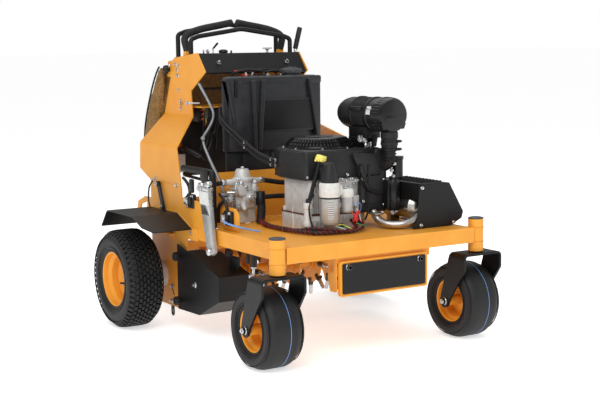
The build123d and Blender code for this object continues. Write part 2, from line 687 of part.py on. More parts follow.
def platform_hinge():
    pin = rod((-294, FOLD_Y, FOLD_Z), (294, FOLD_Y, FOLD_Z), 8)
    ear = prism([(851, 302), (851, 348), (890, 340), (1026, 222), (1026, 188), (1000, 188)], "x", 284, 292,
                5)
    return [pin + ear + mirrored(ear)]


PAD_HINGE_Y = 1110.0
PAD_HINGE_Z = 778.0
PAD_HALF = 320.0
PAD_OUT = [(941, 1238), (990, 1220), (1063, 1170), (1117, 1101), (1159, 1025), (1201, 942), (1232, 850),
           (1232, 765), (1120, 765), (1120, 830), (1066, 975), (1008, 1105), (985, 1150), (955, 1168)]


def operator_pad():
    # A padded shell that wraps round the back of the tower, kept simple for its size and mass.
    back = prism(PAD_OUT, "x", -PAD_HALF, PAD_HALF, 12)
    wing_outline = [(1015, 1130), (1075, 1125), (1150, 1022), (1195, 940), (1225, 850), (1225, 772),
                    (1060, 772), (1020, 900), (1062, 960)]
    wing = prism(wing_outline, "x", -PAD_HALF, 20 - PAD_HALF, 8)
    pad = back + wing + mirrored(wing) + rod((-230, PAD_HINGE_Y, PAD_HINGE_Z), (230, PAD_HINGE_Y, PAD_HINGE_Z), 12)
    for side in (-1, 1):
        middle = side * (PANEL_X - SHEET / 2)
        pad -= box(middle - 6, middle + 6, 900, 1054, 940, 1300)
        pad -= box(side * (PANEL_X - 3), side * (PAD_HALF + 10), 900, 1022, 1100, 1300)
    return pad


# Fasteners -------------------------------------------------------------------------------

def frame_bolts():
    bolts = []
    for y, z in ((918, 1198), (884, 1190), (904, 1170), (896, 1143), (886, 1075), (868, 1010), (866, 985),
                 (866, 1025)):
        bolts.append(rod((-PANEL_X - 7, y, z), (-PANEL_X, y, z), 8))
        bolts.append(rod((PANEL_X, y, z), (PANEL_X + 7, y, z), 8))
    for y, z in ((620, 690), (640, 740), (880, 770)):
        bolts.append(rod((-SIDE_X - 7, y, z), (-SIDE_X, y, z), 9))
        bolts.append(rod((SIDE_X, y, z), (SIDE_X + 7, y, z), 9))
    for x in (-180, 180):
        bolts.append(rod((x, -410, 391), (x, -404, 391), 9))
        bolts.append(rod((x, 655, 1205), (x, 646, 1212), 8))
    return group(bolts)


def star_knob(x, y, z, side):
    start = (x, y, z)
    knob = rod(start, (x + side * 10, y, z), 9)
    for lobe in range(6):
        turn = lobe * pi / 3
        knob += rod((x + side * 8, y + 14 * cos(turn), z + 14 * sin(turn)),
                    (x + side * 28, y + 14 * cos(turn), z + 14 * sin(turn)), 8)
    return knob + rod((x + side * 8, y, z), (x + side * 28, y, z), 16)


def star_knobs():
    knobs = []
    for side in (-1, 1):
        knobs.append(star_knob(side * PANEL_X, 988, 1172, side))
        knobs.append(star_knob(side * COVER_X, 516, 340, side))
        knobs.append(star_knob(side * COVER_X, 516, 137, side))
    return group(knobs)


# Assembly --------------------------------------------------------------------------------

def nodes():
    axle_y = CASTER_Y + CASTER_TRAIL
    parts = {
        "frame_tubes": group([front_beam(), side_beams()]),
        "caster_pivot_tubes": caster_pivot_tubes(),
        "engine_deck": engine_deck(),
        "lower_side_plates": lower_side_plates(),
        "left_tower_panel": tower_panel(),
        "right_tower_panel": mirrored(tower_panel()),
        "tower_cross_members": tower_cross_members(),
        "pivot_pins": group(lever_pins() + lift_pivots() + platform_hinge()),
        "front_bracket": front_bracket(),
        "front_panel": front_panel(),
        "chain_covers": chain_covers(),
        "fenders": fenders(),
        "console_housing": console_housing(),
        "reference_bars": reference_bars(),
        "brake_lever": brake_lever(),
        "throttle_lever": throttle_lever(),
        "ignition_key": ignition_key(),
        "choke_knob": choke_knob(),
        "fuel_tank": fuel_tank(),
        "fuel_cap": fuel_cap(),
        "engine_block": engine_block(),
        "blower_housing": blower_housing(),
        "fan_cover": fan_cover(),
        "starter_motor": starter_motor(),
        "dipstick_tube": dipstick_tube(),
        "air_cleaner": air_cleaner(),
        "intake_stack": intake_stack(),
        "muffler": muffler(),
        "muffler_guard": muffler_guard(),
        "hydro_pumps": hydro_pumps(),
        "wheel_motors": wheel_motors(),
        "hydraulic_filter": hydraulic_filter(),
        "lift_actuator": lift_actuator(),
        "control_tube_frame": control_tube_frame(),
        "hoses": hoses(),
        "fuel_hoses": fuel_hoses(),
        "wiring_loom": wiring_loom(),
        "drive_belt": drive_belt(),
        "crank_pulley": crank_pulley(),
        "pump_pulley": pump_pulley(),
        "tine_carrier": tine_carrier(),
        "tine_reel": tine_reel(),
        "operator_platform": operator_platform(),
        "operator_pad": operator_pad(),
        "frame_bolts": frame_bolts(),
        "star_knobs": star_knobs(),
    }
    for side, name in ((-1, "left"), (1, "right")):
        x = side * CASTER_X
        parts[name + "_drive_lever"] = drive_lever(side)
        parts[name + "_lever_grip"] = lever_grip(side)
        parts[name + "_caster_fork"] = caster_fork(side)
        parts[name + "_caster_rim"] = caster_rim(x, axle_y)
        parts[name + "_caster_tyre"] = tyre(x, axle_y, CASTER_R, CASTER_WIDE, CASTER_RIM_R, 10)
        parts[name + "_drive_rim"] = drive_rim(side)
        parts[name + "_drive_tyre"] = tyre(side * DRIVE_X, DRIVE_Y, DRIVE_R, DRIVE_WIDE, DRIVE_RIM_R, 8)
    return parts


os.makedirs("parts", exist_ok=True)
for node_name, node_shape in nodes().items():
    export_step(place(node_shape), "parts/" + node_name + ".step")
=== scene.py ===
import math
import random

import bmesh
import bpy
from mathutils import Matrix, Vector, noise


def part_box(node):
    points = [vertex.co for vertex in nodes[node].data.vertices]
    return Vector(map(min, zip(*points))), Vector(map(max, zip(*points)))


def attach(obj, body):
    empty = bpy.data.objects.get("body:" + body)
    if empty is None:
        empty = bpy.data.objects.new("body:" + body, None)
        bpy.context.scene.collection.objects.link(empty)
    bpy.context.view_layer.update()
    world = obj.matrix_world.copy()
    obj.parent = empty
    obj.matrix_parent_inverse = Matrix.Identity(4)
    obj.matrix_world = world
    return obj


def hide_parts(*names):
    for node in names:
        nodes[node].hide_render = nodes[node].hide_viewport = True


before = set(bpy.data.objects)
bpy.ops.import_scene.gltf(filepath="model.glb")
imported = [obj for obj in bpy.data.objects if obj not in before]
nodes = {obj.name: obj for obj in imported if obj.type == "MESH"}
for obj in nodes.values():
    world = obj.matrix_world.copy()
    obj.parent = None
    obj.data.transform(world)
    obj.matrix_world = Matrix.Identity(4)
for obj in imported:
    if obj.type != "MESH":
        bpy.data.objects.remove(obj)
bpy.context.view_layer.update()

# Every place below is in millimetres: across, along from the deck's datum, and up.
mm = 0.001
fanLow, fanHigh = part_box("fan_cover")
crankY = 86  # the engine shaft's distance from the datum
datumY = (fanLow.y + fanHigh.y) / 2 - crankY * mm


def at(x, y, z):
    return Vector((x * mm, y * mm + datumY, z * mm))


def spanOf(node):  # a CAD node's box in the same millimetres
    low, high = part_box(node)
    shift = Vector((0, datumY, 0))
    return (low - shift) / mm, (high - shift) / mm


# Shaping helpers.

def joinShape(shape, part):
    mesh = bpy.data.meshes.new("part")
    part.to_mesh(mesh)
    part.free()
    shape.from_mesh(mesh)
    bpy.data.meshes.remove(mesh)


def outwards(part):
    bmesh.ops.remove_doubles(part, verts=part.verts, dist=0.00002)
    bmesh.ops.recalc_face_normals(part, faces=part.faces)


def roundOff(part, edges, width, segments=2):
    bmesh.ops.bevel(part, geom=edges, offset=width * mm, segments=segments, profile=0.5,
                    affect="EDGES", material=-1, clamp_overlap=True)


def sharpEdges(part, angle=30):
    return [e for e in part.edges if len(e.link_faces) == 2
            and e.calc_face_angle(0) > math.radians(angle)]


def addBlock(shape, low, high, rounding=0, segments=2):
    part = bmesh.new()
    bmesh.ops.create_cube(part, size=1)
    a, b = at(*low), at(*high)
    size = [abs(n) for n in b - a]
    bmesh.ops.scale(part, vec=size, verts=part.verts)
    bmesh.ops.translate(part, vec=(a + b) / 2, verts=part.verts)
    if rounding:
        roundOff(part, part.edges[:], rounding, segments)
    joinShape(shape, part)


def addBar(shape, start, end, radius, endRadius=None, sides=28, rounding=0, segments=2):
    # A round or many-sided bar from one point to another, tapered where endRadius is given.
    part = bmesh.new()
    a, b = at(*start), at(*end)
    turn = (b - a).to_track_quat("Z", "Y").to_matrix().to_4x4()
    farRadius = radius if endRadius is None else endRadius
    bmesh.ops.create_cone(part, cap_ends=True, cap_tris=False, segments=sides, radius1=radius * mm,
                          radius2=farRadius * mm, depth=(b - a).length,
                          matrix=Matrix.Translation((a + b) / 2) @ turn)
    if rounding:
        rims = [e for e in part.edges if any(len(f.verts) == sides and sides > 4 for f in e.link_faces)]
        roundOff(part, rims, rounding, segments)
    joinShape(shape, part)


def addPlate(shape, outline, axis, low, high, corner=0, rounding=0, cornerSteps=4):
    # A flat outline in the plane across the axis, drawn out from low to high.
    part = bmesh.new()
    spots = {"x": lambda a, b: (low, a, b), "y": lambda a, b: (a, low, b), "z": lambda a, b: (a, b, low)}
    verts = [part.verts.new(at(*spots[axis](a, b))) for a, b in outline]
    part.faces.new(verts)
    if corner:
        bmesh.ops.bevel(part, geom=verts, offset=corner * mm, segments=cornerSteps, profile=0.5,
                        affect="VERTICES", material=-1)
    drawn = bmesh.ops.extrude_face_region(part, geom=part.faces[:])["geom"]
    run = Vector([(high - low) * mm if name == axis else 0 for name in "xyz"])
    bmesh.ops.translate(part, vec=run, verts=[g for g in drawn if isinstance(g, bmesh.types.BMVert)])
    outwards(part)
    if rounding:
        roundOff(part, sharpEdges(part), rounding)
    joinShape(shape, part)


axisTurns = {"z": Matrix.Identity(4), "x": Matrix.Rotation(math.pi / 2, 4, "Y"),
             "y": Matrix.Rotation(-math.pi / 2, 4, "X")}


def addTurned(shape, profile, centre, axis, sides=48, closed=False, direction=None):
    # A profile of (radius, distance along the axis) spun all the way round.
    part = bmesh.new()
    verts = [part.verts.new((radius * mm, 0, along * mm)) for radius, along in profile]
    edges = [part.edges.new(pair) for pair in zip(verts, verts[1:])]
    if closed:
        edges.append(part.edges.new((verts[-1], verts[0])))
    bmesh.ops.spin(part, geom=verts + edges, cent=(0, 0, 0), axis=(0, 0, 1), angle=2 * math.pi,
                   steps=sides, use_merge=True)
    turn = axisTurns[axis] if direction is None else Vector(direction).to_track_quat("Z",
                                                                                     "Y").to_matrix().to_4x4()
    bmesh.ops.transform(part, matrix=Matrix.Translation(at(*centre)) @ turn, verts=part.verts)
    outwards(part)
    joinShape(shape, part)


def routeCurve(points, radius, resolution=3):
    curve = bpy.data.curves.new("route", "CURVE")
    curve.dimensions = "3D"
    spline = curve.splines.new("NURBS")
    spline.points.add(len(points) - 1)
    for point, place in zip(spline.points, points):
        point.co = (*at(*place), 1)
    spline.order_u = 3
    spline.use_endpoint_u = True
    spline.resolution_u = 8
    curve.bevel_depth = radius * mm
    curve.bevel_resolution = resolution
    curve.use_fill_caps = radius > 0
    return curve


def routeMesh(points, radius, resolution=3):
    curve = routeCurve(points, radius, resolution)
    holder = bpy.data.objects.new("route", curve)
    bpy.context.scene.collection.objects.link(holder)
    mesh = bpy.data.meshes.new_from_object(holder)
    bpy.data.objects.remove(holder)
    bpy.data.curves.remove(curve)
    return mesh


def addHose(shape, points, radius, resolution=3):
    mesh = routeMesh(points, radius, resolution)
    shape.from_mesh(mesh)
    bpy.data.meshes.remove(mesh)


def alongRoute(points, spacing):
    # Evenly spaced places and directions along a hose's own smooth line.
    mesh = routeMesh(points, 0)
    line = [v.co.copy() for v in mesh.vertices]
    bpy.data.meshes.remove(mesh)
    spots, left = [], 0.0
    for a, b in zip(line, line[1:]):
        run = b - a
        while left <= run.length:
            spots.append((a + run.normalized() * left, run.normalized()))
            left += spacing * mm
        left -= run.length
    return spots


def addBolt(shape, place, direction, across, tall=None, washer=True):
    # A hexagon flange bolt, whose head stands on the place given.
    spot, way = at(*place), Vector(direction).normalized()
    turn = Matrix.Translation(spot) @ way.to_track_quat("Z", "Y").to_matrix().to_4x4()
    high = (across * 0.55 if tall is None else tall) * mm
    foot = 0
    if washer:
        foot = across * 0.14 * mm
        bmesh.ops.create_cone(shape, cap_ends=True, cap_tris=False, segments=20, radius1=across * 0.78 * mm,
                              radius2=across * 0.66 * mm, depth=foot,
                              matrix=turn @ Matrix.Translation((0, 0, foot / 2)))
    head = bmesh.new()
    bmesh.ops.create_cone(head, cap_ends=True, cap_tris=False, segments=6, radius1=across * 0.56 * mm,
                          radius2=across * 0.56 * mm, depth=high,
                          matrix=turn @ Matrix.Translation((0, 0, foot + high / 2)))
    roundOff(head, [e for e in head.edges if any(len(f.verts) == 6 for f in e.link_faces)], across * 0.07)
    joinShape(shape, head)


def flipped(shape):
    bmesh.ops.scale(shape, vec=(-1, 1, 1), verts=shape.verts)
    bmesh.ops.reverse_faces(shape, faces=shape.faces)
    return shape


def finishPiece(shape, name, material, body, replaced=(), angle=32):
    for edge in shape.edges:
        edge.smooth = not (len(edge.link_faces) == 2 and edge.calc_face_angle(0) > math.radians(angle))
    for face in shape.faces:
        face.smooth = True
    mesh = bpy.data.meshes.new(name)
    shape.to_mesh(mesh)
    shape.free()
    mesh.materials.append(material)
    piece = bpy.data.objects.new(name, mesh)
    bpy.context.scene.collection.objects.link(piece)
    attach(piece, body)
    if replaced:
        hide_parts(*replaced)
    return piece


# Materials.

def linear(hexColour):
    channels = [int(hexColour[i:i + 2], 16) / 255 for i in (1, 3, 5)]
    return [c / 12.92 if c <= 0.04045 else ((c + 0.055) / 1.055) ** 2.4 for c in channels] + [1]


def addNode(tree, kind, settings=None, inputs=None, links=None):
    node = tree.nodes.new(kind)
    for key, value in (settings or {}).items():
        setattr(node, key, value)
    for key, value in (inputs or {}).items():
        node.inputs[key].default_value = value
    for key, socket in (links or {}).items():
        tree.links.new(socket, node.inputs[key])
    return node


def startMaterial(name, shaderValues):
    material = bpy.data.materials.new(name)
    material.use_nodes = True
    tree = material.node_tree
    shader = tree.nodes["Principled BSDF"]
    for key, value in shaderValues.items():
        shader.inputs[key].default_value = value
    place = addNode(tree, "ShaderNodeTexCoord").outputs["Object"]
    return material, tree, shader, place


def surface(name, low, high, roughness, blot, grit, depth, strength=0.35, metal=0.0, coat=0.0, specular=0.35,
            blotDetail=3.0):
    # One finish: two close colours, roughness that wanders and a fine raised grain, sized in millimetres.
    values = {"Metallic": metal, "Coat Weight": coat, "Coat Roughness": 0.12, "Specular IOR Level": specular}
    material, tree, shader, place = startMaterial(name, values)
    cloudy, fine = [addNode(tree, "ShaderNodeTexNoise", None,
                            {"Scale": 1000 / size, "Detail": detail, "Roughness": 0.55},
                            {"Vector": place}).outputs["Fac"]
                    for size, detail in ((blot, blotDetail), (grit, 2.0))]
    ramp = addNode(tree, "ShaderNodeValToRGB", None, None, {"Fac": cloudy})
    for element, spot, colour in zip(ramp.color_ramp.elements, (0.3, 0.7), (low, high)):
        element.position = spot
        element.color = linear(colour)
    dull = addNode(tree, "ShaderNodeMapRange", None, {"To Min": roughness[0], "To Max": roughness[1]},
                   {"Value": cloudy})
    bump = addNode(tree, "ShaderNodeBump", None, {"Strength": strength, "Distance": depth * mm},
                   {"Height": fine})
    for node, output, socket in ((ramp, "Color", "Base Color"), (dull, "Result", "Roughness"),
                                 (bump, "Normal", "Normal")):
        tree.links.new(node.outputs[output], shader.inputs[socket])
    return material


# Powder coat, sprayed and baked: even colour, a slight orange-peel ripple of about 2 mm.
orangePowderCoat = surface("orange_powder_coat", "#E6992E", "#EBA338", (0.38, 0.5), 90, 2.2, 0.05, 0.25,
                           specular=0.4)
blackPowderCoat = surface("black_powder_coat", "#0D0D0E", "#131314", (0.4, 0.54), 60, 1.6, 0.06, 0.35,
                          specular=0.3)
# Moulded plastic covers: spark-eroded mould grain of about 1 mm, duller than paint.
mouldedPlastic = surface("moulded_black_nylon", "#18181A", "#222224", (0.38, 0.52), 50, 1.1, 0.08, 0.4)
glossPlastic = surface("glossy_black_plastic", "#121213", "#1A1A1B", (0.22, 0.34), 40, 3.0, 0.03, 0.15)
# Rotomoulded polyethylene: a coarse satin skin, greyer than the nylon.
tankPolyethylene = surface("rotomoulded_polyethylene", "#1E1F22", "#28292D", (0.36, 0.5), 35, 2.6, 0.3, 0.6)
# Die-cast aluminium: matt grey with a pitted skin.
castAluminium = surface("die_cast_aluminium", "#C4C4C2", "#D8D8D6", (0.4, 0.55), 24, 1.5, 0.06, 0.35,
                        metal=0.2)
# Zinc-plated steel: bright, faintly clouded.
zincSteel = surface("zinc_plated_steel", "#B9BABA", "#DADBDB", (0.2, 0.34), 6, 1.2, 0.02, 0.2, metal=1.0)
# Aluminised steel, heated in use: soft grey with straw patches.
muffSteel = surface("aluminised_steel", "#A9A6A0", "#C9C7C3", (0.26, 0.42), 30, 1.6, 0.04, 0.25, metal=1.0)
galvanised = surface("galvanised_rod", "#85878A", "#9DA0A3", (0.35, 0.5), 10, 1.2, 0.03, 0.2, metal=0.9)
darkSteel = surface("phosphated_steel", "#4A4846", "#5F5C59", (0.4, 0.55), 18, 1.4, 0.05, 0.3, metal=0.9)
whiteEnamel = surface("white_enamel", "#D9D9D5", "#E8E8E5", (0.3, 0.4), 40, 2.0, 0.02, 0.15)
silverPaint = surface("silver_paint", "#A6A7A6", "#BFC0BF", (0.34, 0.48), 30, 1.4, 0.03, 0.25, metal=0.55)
yellowPlastic = surface("yellow_polypropylene", "#E9DC62", "#F0E67C", (0.34, 0.44), 20, 1.2, 0.04, 0.25)
redPlastic = surface("red_plastic", "#C42318", "#D6352A", (0.32, 0.45), 15, 1.2, 0.03, 0.2)
bluePlastic = surface("blue_plastic", "#5E8FD0", "#7BA6DC", (0.34, 0.45), 15, 1.2, 0.03, 0.2)
palePlastic = surface("pale_plastic", "#CFCFCB", "#E0E0DC", (0.34, 0.46), 15, 1.2, 0.03, 0.2)
greyPlastic = surface("grey_polypropylene", "#3B3D40", "#484A4E", (0.36, 0.48), 15, 1.2, 0.04, 0.25)
# Vulcanised rubber: near black, dull, with dust in its blots.
hoseRubber = surface("hose_rubber", "#161617", "#222223", (0.5, 0.66), 22, 1.2, 0.05, 0.3)
gripFoam = surface("nitrile_foam", "#202022", "#2B2B2D", (0.68, 0.82), 16, 1.4, 0.25, 0.6)
knobPlastic = surface("phenolic_knob", "#1C1C1D", "#262627", (0.42, 0.55), 12, 1.2, 0.06, 0.35)
boltBlack = surface("black_oxide_steel", "#1D1D1E", "#2C2C2D", (0.32, 0.45), 8, 1.0, 0.03, 0.2, metal=0.6)


# Tyre rubber: dull black, with moulding bloom in patches of some 40 mm.
tyreRubber = surface("tyre_rubber", "#111112", "#1A1A1B", (0.5, 0.68), 38, 1.3, 0.06, 0.3, specular=0.42,
                     blotDetail=4.0)


# Wheels.

casterWheel = {"beadRadius": 92, "lineWidth": 2.2, "lineOffset": 14, "hubRadius": 22}
driveWheel = {"beadRadius": 124, "blockRows": 9, "blocksRound": 50, "blockTall": 11, "lugCircle": 50,
              "lugs": 4, "valveLong": 34}


def tyreProfile(radius, half, bead, crownHalf, shoulder):
    # From one bead, out over the crown and back, then round the inside.
    side = [(bead, 16), (bead + 3, 9), (bead + 9, 7), (bead + 13, 9.5), (bead + 17, 5),
            (radius * 0.74, 1.5), (radius * 0.8, 0), (radius * 0.86, 1.6), (radius - 20, 6)]
    arc = []
    for step in range(7):
        turn = math.radians(90 * step / 6)
        arc.append((radius - shoulder + shoulder * math.sin(turn),
                    10 + (half - crownHalf - 10) * (1 - math.cos(turn))))
    outer = side + arc
    left = [(r, along - half) for r, along in outer]
    right = [(r, half - along) for r, along in reversed(outer)]
    inner = [(bead, half - 22), (radius - 24, half - 16), (radius - 24, 16 - half), (bead, 22 - half)]
    return left + right + inner


def wheelSpan(name):
    low, high = spanOf(name)
    middle = (low + high) / 2
    return middle, (high.z - low.z) / 2, (high.x - low.x) / 2


def makeCasterTyre(side):
    middle, radius, half = wheelSpan(side + "_caster_tyre")
    shape = bmesh.new()
    addTurned(shape, tyreProfile(radius, half, casterWheel["beadRadius"], 34, 26), middle, "x", 72,
              closed=True)
    for offset in (-46, -38, 38, 46):  # shallow moulded ribs beside the crown
        crown = radius - (0.4 if abs(offset) == 38 else 2.2)
        addTurned(shape, [(crown - 2, offset - 1.6), (crown + 0.3, offset - 1), (crown + 0.3, offset + 1),
                          (crown - 2, offset + 1.6)], middle, "x", 72)
    for reach in (0.64, 0.7, 0.9):  # sidewall rings
        spot = radius * reach
        for face in (-1, 1):
            base = face * (half - (1.5 if reach < 0.9 else 3.2))
            addTurned(shape, [(spot - 1.8, base - face * 3), (spot - 0.8, base + face * 0.7),
                              (spot + 0.8, base + face * 0.7), (spot + 1.8, base - face * 3)], middle, "x",
                              72)
    finishPiece(shape, side + "_caster_tyre_body", tyreRubber, side + "_caster_wheel",
                [side + "_caster_tyre"])
    line = bmesh.new()  # the sprayed sorting line round the tread
    offset, width = casterWheel["lineOffset"], casterWheel["lineWidth"]
    addTurned(line, [(radius - 1, offset - width), (radius + 0.15, offset - width / 2),
                     (radius + 0.15, offset + width / 2), (radius - 1, offset + width)], middle, "x", 72)
    finishPiece(line, side + "_caster_tyre_line", bluePlastic, side + "_caster_wheel")


def makeCasterRim(side):
    middle, _, half = wheelSpan(side + "_caster_tyre")
    hubHalf = wheelSpan(side + "_caster_rim")[2]
    bead = casterWheel["beadRadius"]
    shape = bmesh.new()
    edge = half - 14
    addTurned(shape, [(bead + 1, -edge), (bead + 3, 3 - edge), (bead - 2, 9 - edge), (bead - 3, 20 - edge),
                      (bead - 13, 30 - edge), (bead - 13, edge - 30), (bead - 3, edge - 20), (bead - 2,
                                                                                              edge - 9),
                      (bead + 3, edge - 3), (bead + 1, edge), (bead - 4, edge - 4), (bead - 6, edge - 19),
                      (bead - 16, edge - 31), (bead - 16, 31 - edge), (bead - 6, 19 - edge),
                      (bead - 4, 4 - edge)], middle, "x", 64, closed=True)
    for face in (-1, 1):  # the two pressed halves of the disc, seen as one dished web
        addTurned(shape, [(bead - 14, face * 2), (bead - 20, face * 5), (60, face * 7), (46, face * 15),
                          (casterWheel["hubRadius"] - 1, face * 18)], middle, "x", 64)
    hub = casterWheel["hubRadius"]
    addTurned(shape, [(10, -hubHalf), (hub - 2, -hubHalf), (hub, 2 - hubHalf), (hub, hubHalf - 2),
                      (hub - 2, hubHalf), (10, hubHalf)], middle, "x", 40, closed=True)
    finishPiece(shape, side + "_caster_rim_pressing", orangePowderCoat, side + "_caster_wheel",
                [side + "_caster_rim"])
    fittings = bmesh.new()
    sign = 1 if side == "right" else -1
    addBar(fittings, middle + Vector((sign * 30, 0, hub - 2)), middle + Vector((sign * 30, 0, hub + 9)),
           3.4, 2.2,
           sides=10)
    addBar(fittings, middle + Vector((-sign * 40, -60, 42)), middle + Vector((-sign * 62, -60, 48)), 4, 3,
           sides=12)
    finishPiece(fittings, side + "_caster_rim_fittings", zincSteel, side + "_caster_wheel")


def makeCasterFork(side):
    # The bent plate stays as the frame has it; these are its nuts, bush and top cap.
    middle = wheelSpan(side + "_caster_tyre")[0]
    nuts = bmesh.new()
    for face in (-1, 1):
        outer = middle.x + face * 103
        spot = Vector((outer, middle.y, middle.z))
        addBolt(nuts, spot, (face, 0, 0), 22, 11)
        addBar(nuts, spot, spot + Vector((face * 19, 0, 0)), 6.5, 5.5, sides=16)
    finishPiece(nuts, side + "_fork_axle_nuts", zincSteel, side + "_caster")
    tubeLow, tubeHigh = spanOf("caster_pivot_tubes")
    pivotX, pivotY = (500 if side == "right" else -500), -380
    cap = bmesh.new()
    addTurned(cap, [(0, 3.2), (22, 3), (25, 2), (27.5, 0.2), (33.4, 0.2), (33.4, -5), (0, -5)],
              (pivotX, pivotY, tubeHigh.z), "z", 40)
    finishPiece(cap, side + "_pivot_dust_cap", greyPlastic, "chassis")
    bush = bmesh.new()
    addTurned(bush, [(20, 0.6), (30, 0.6), (31, -1), (29, -4.2), (20, -4.2)],
              (pivotX, pivotY, tubeLow.z), "z", 40, closed=True)
    finishPiece(bush, side + "_pivot_bush", knobPlastic, "chassis")


def treadBlock(long, wide, tall, turn):
    # One tread block, standing up +Z, with chamfered top edges.
    block = bmesh.new()
    bmesh.ops.create_cube(block, size=1)
    bmesh.ops.scale(block, vec=(wide * mm, long * mm, tall * mm), verts=block.verts)
    top = [e for e in block.edges if all(v.co.z > 0 for v in e.verts)]
    roundOff(block, top, 1.6, 1)
    bmesh.ops.rotate(block, cent=(0, 0, 0), matrix=Matrix.Rotation(turn, 3, "Z"), verts=block.verts)
    return block


def makeDriveTyre(side):
    middle, radius, half = wheelSpan(side + "_drive_tyre")
    tall = driveWheel["blockTall"]
    shape = bmesh.new()
    addTurned(shape, tyreProfile(radius - tall, half - 1, driveWheel["beadRadius"], 46, 26), middle, "x", 84,
              closed=True)
    rows, count = driveWheel["blockRows"], driveWheel["blocksRound"]
    pitch = 2 * math.pi / count
    gap = 2 * (half - 8) / rows
    middleRow = (rows - 1) / 2
    for row in range(rows):
        offset = (row - middleRow) * gap
        out = abs(row - middleRow) / middleRow
        drop = 1.5 * out ** 2 + 13 * max(0, out - 0.72) / 0.28
        lean = -math.copysign(1, row - middleRow) * math.radians(42) * max(0, out - 0.7) / 0.3
        turn = math.radians(14) * (-1 if row % 2 else 1)
        outerRow = out > 0.9
        block = treadBlock(15 if outerRow else 20, gap + 5 if outerRow else gap - 5, tall + 3,
                           0 if outerRow else turn)
        mesh = bpy.data.meshes.new("block")
        block.to_mesh(mesh)
        block.free()
        for step in range(count):
            angle = (step + (0.5 if row % 2 else 0)) * pitch
            place = (Matrix.Translation(at(middle.x, middle.y, middle.z)) @ Matrix.Rotation(angle, 4, "X")
                     @ Matrix.Translation((offset * mm, 0, (radius - tall / 2 - 1.5 - drop) * mm))
                     @ Matrix.Rotation(-lean, 4, "Y"))
            part = bmesh.new()
            part.from_mesh(mesh)
            bmesh.ops.transform(part, matrix=place, verts=part.verts)
            joinShape(shape, part)
        bpy.data.meshes.remove(mesh)
    for reach in (0.66, 0.7, 0.885):
        for face in (-1, 1):
            spot = radius * reach
            base = face * (half - 2)
            addTurned(shape, [(spot - 2.2, base - face * 4), (spot - 1, base + face * 0.8),
                              (spot + 1, base + face * 0.8), (spot + 2.2, base - face * 4)], middle, "x", 84)
    finishPiece(shape, side + "_drive_tyre_body", tyreRubber, side + "_drive_wheel",
                [side + "_drive_tyre"])


def makeDriveRim(side):
    middle, _, half = wheelSpan(side + "_drive_tyre")
    out = 1 if side == "right" else -1
    bead = driveWheel["beadRadius"]
    edge = half - 13
    shape = bmesh.new()
    section = [(bead + 1, -edge), (bead + 4, 3 - edge), (bead - 2, 10 - edge), (bead - 3, 24 - edge),
               (bead - 16, 36 - edge), (bead - 16, edge - 36), (bead - 3, edge - 24), (bead - 2, edge - 10),
               (bead + 4, edge - 3), (bead + 1, edge), (bead - 4, edge - 3), (bead - 7, edge - 24),
               (bead - 20, edge - 38), (bead - 20, 38 - edge), (bead - 7, 24 - edge), (bead - 4, 3 - edge)]
    addTurned(shape, section, middle, "x", 72, closed=True)
    # The pressed disc: a raised ring, a flat for the lug nuts and a hole for the hub.
    disc = [(bead - 18, 4), (bead - 26, 9), (bead - 36, 9), (bead - 46, -1), (70, -10), (34, -10), (32, -13),
            (32, -16), (70, -16), (bead - 46, -6), (bead - 30, 3), (bead - 18, -2)]
    addTurned(shape, [(r, out * along) for r, along in disc], middle, "x", 72, closed=True)
    finishPiece(shape, side + "_drive_rim_pressing", orangePowderCoat, side + "_drive_wheel",
                [side + "_drive_rim"])
    nuts = bmesh.new()
    for lug in range(driveWheel["lugs"]):
        turn = lug * math.pi / 2 + math.pi / 4
        spot = middle + Vector((-out * 10, driveWheel["lugCircle"] * math.cos(turn),
                                driveWheel["lugCircle"] * math.sin(turn)))
        addBolt(nuts, spot, (out, 0, 0), 20, 13)
        addBar(nuts, spot, spot + Vector((out * 24, 0, 0)), 5.5, sides=14, rounding=0.8)
    hub = middle + Vector((-out * 12, 0, 0))
    addTurned(nuts, [(0, out * 26), (14, out * 26), (16, out * 24), (16, out * 12), (30, out * 8), (31, 0),
                     (0, 0)],
              hub, "x", 36)
    addBolt(nuts, hub + Vector((out * 14, 0, 0)), (out, 0, 0), 30, 16)
    finishPiece(nuts, side + "_drive_wheel_nuts", zincSteel, side + "_drive_wheel")
    valve = bmesh.new()
    foot = middle + Vector((out * 22, -(bead - 28) * 0.45, -(bead - 28) * 0.2))
    addBar(valve, foot, foot + Vector((out * driveWheel["valveLong"], 12, 4)), 5.5, 4.2, sides=14, rounding=1)
    finishPiece(valve, side + "_drive_valve_stem", hoseRubber, side + "_drive_wheel")


for side in ("left", "right"):
    makeCasterTyre(side)
    makeCasterRim(side)
    makeCasterFork(side)
    makeDriveTyre(side)
    makeDriveRim(side)
print("wheels ready")


# Engine.

engine = {"finPitch": 13, "finProud": 6, "fanFins": 60, "fanOuter": 150, "fanInner": 118}
housingOutline = [(-195, -111), (195, -111), (195, 90), (160, 205), (80, 262), (-80, 262), (-160, 205),
                  (-195, 98)]


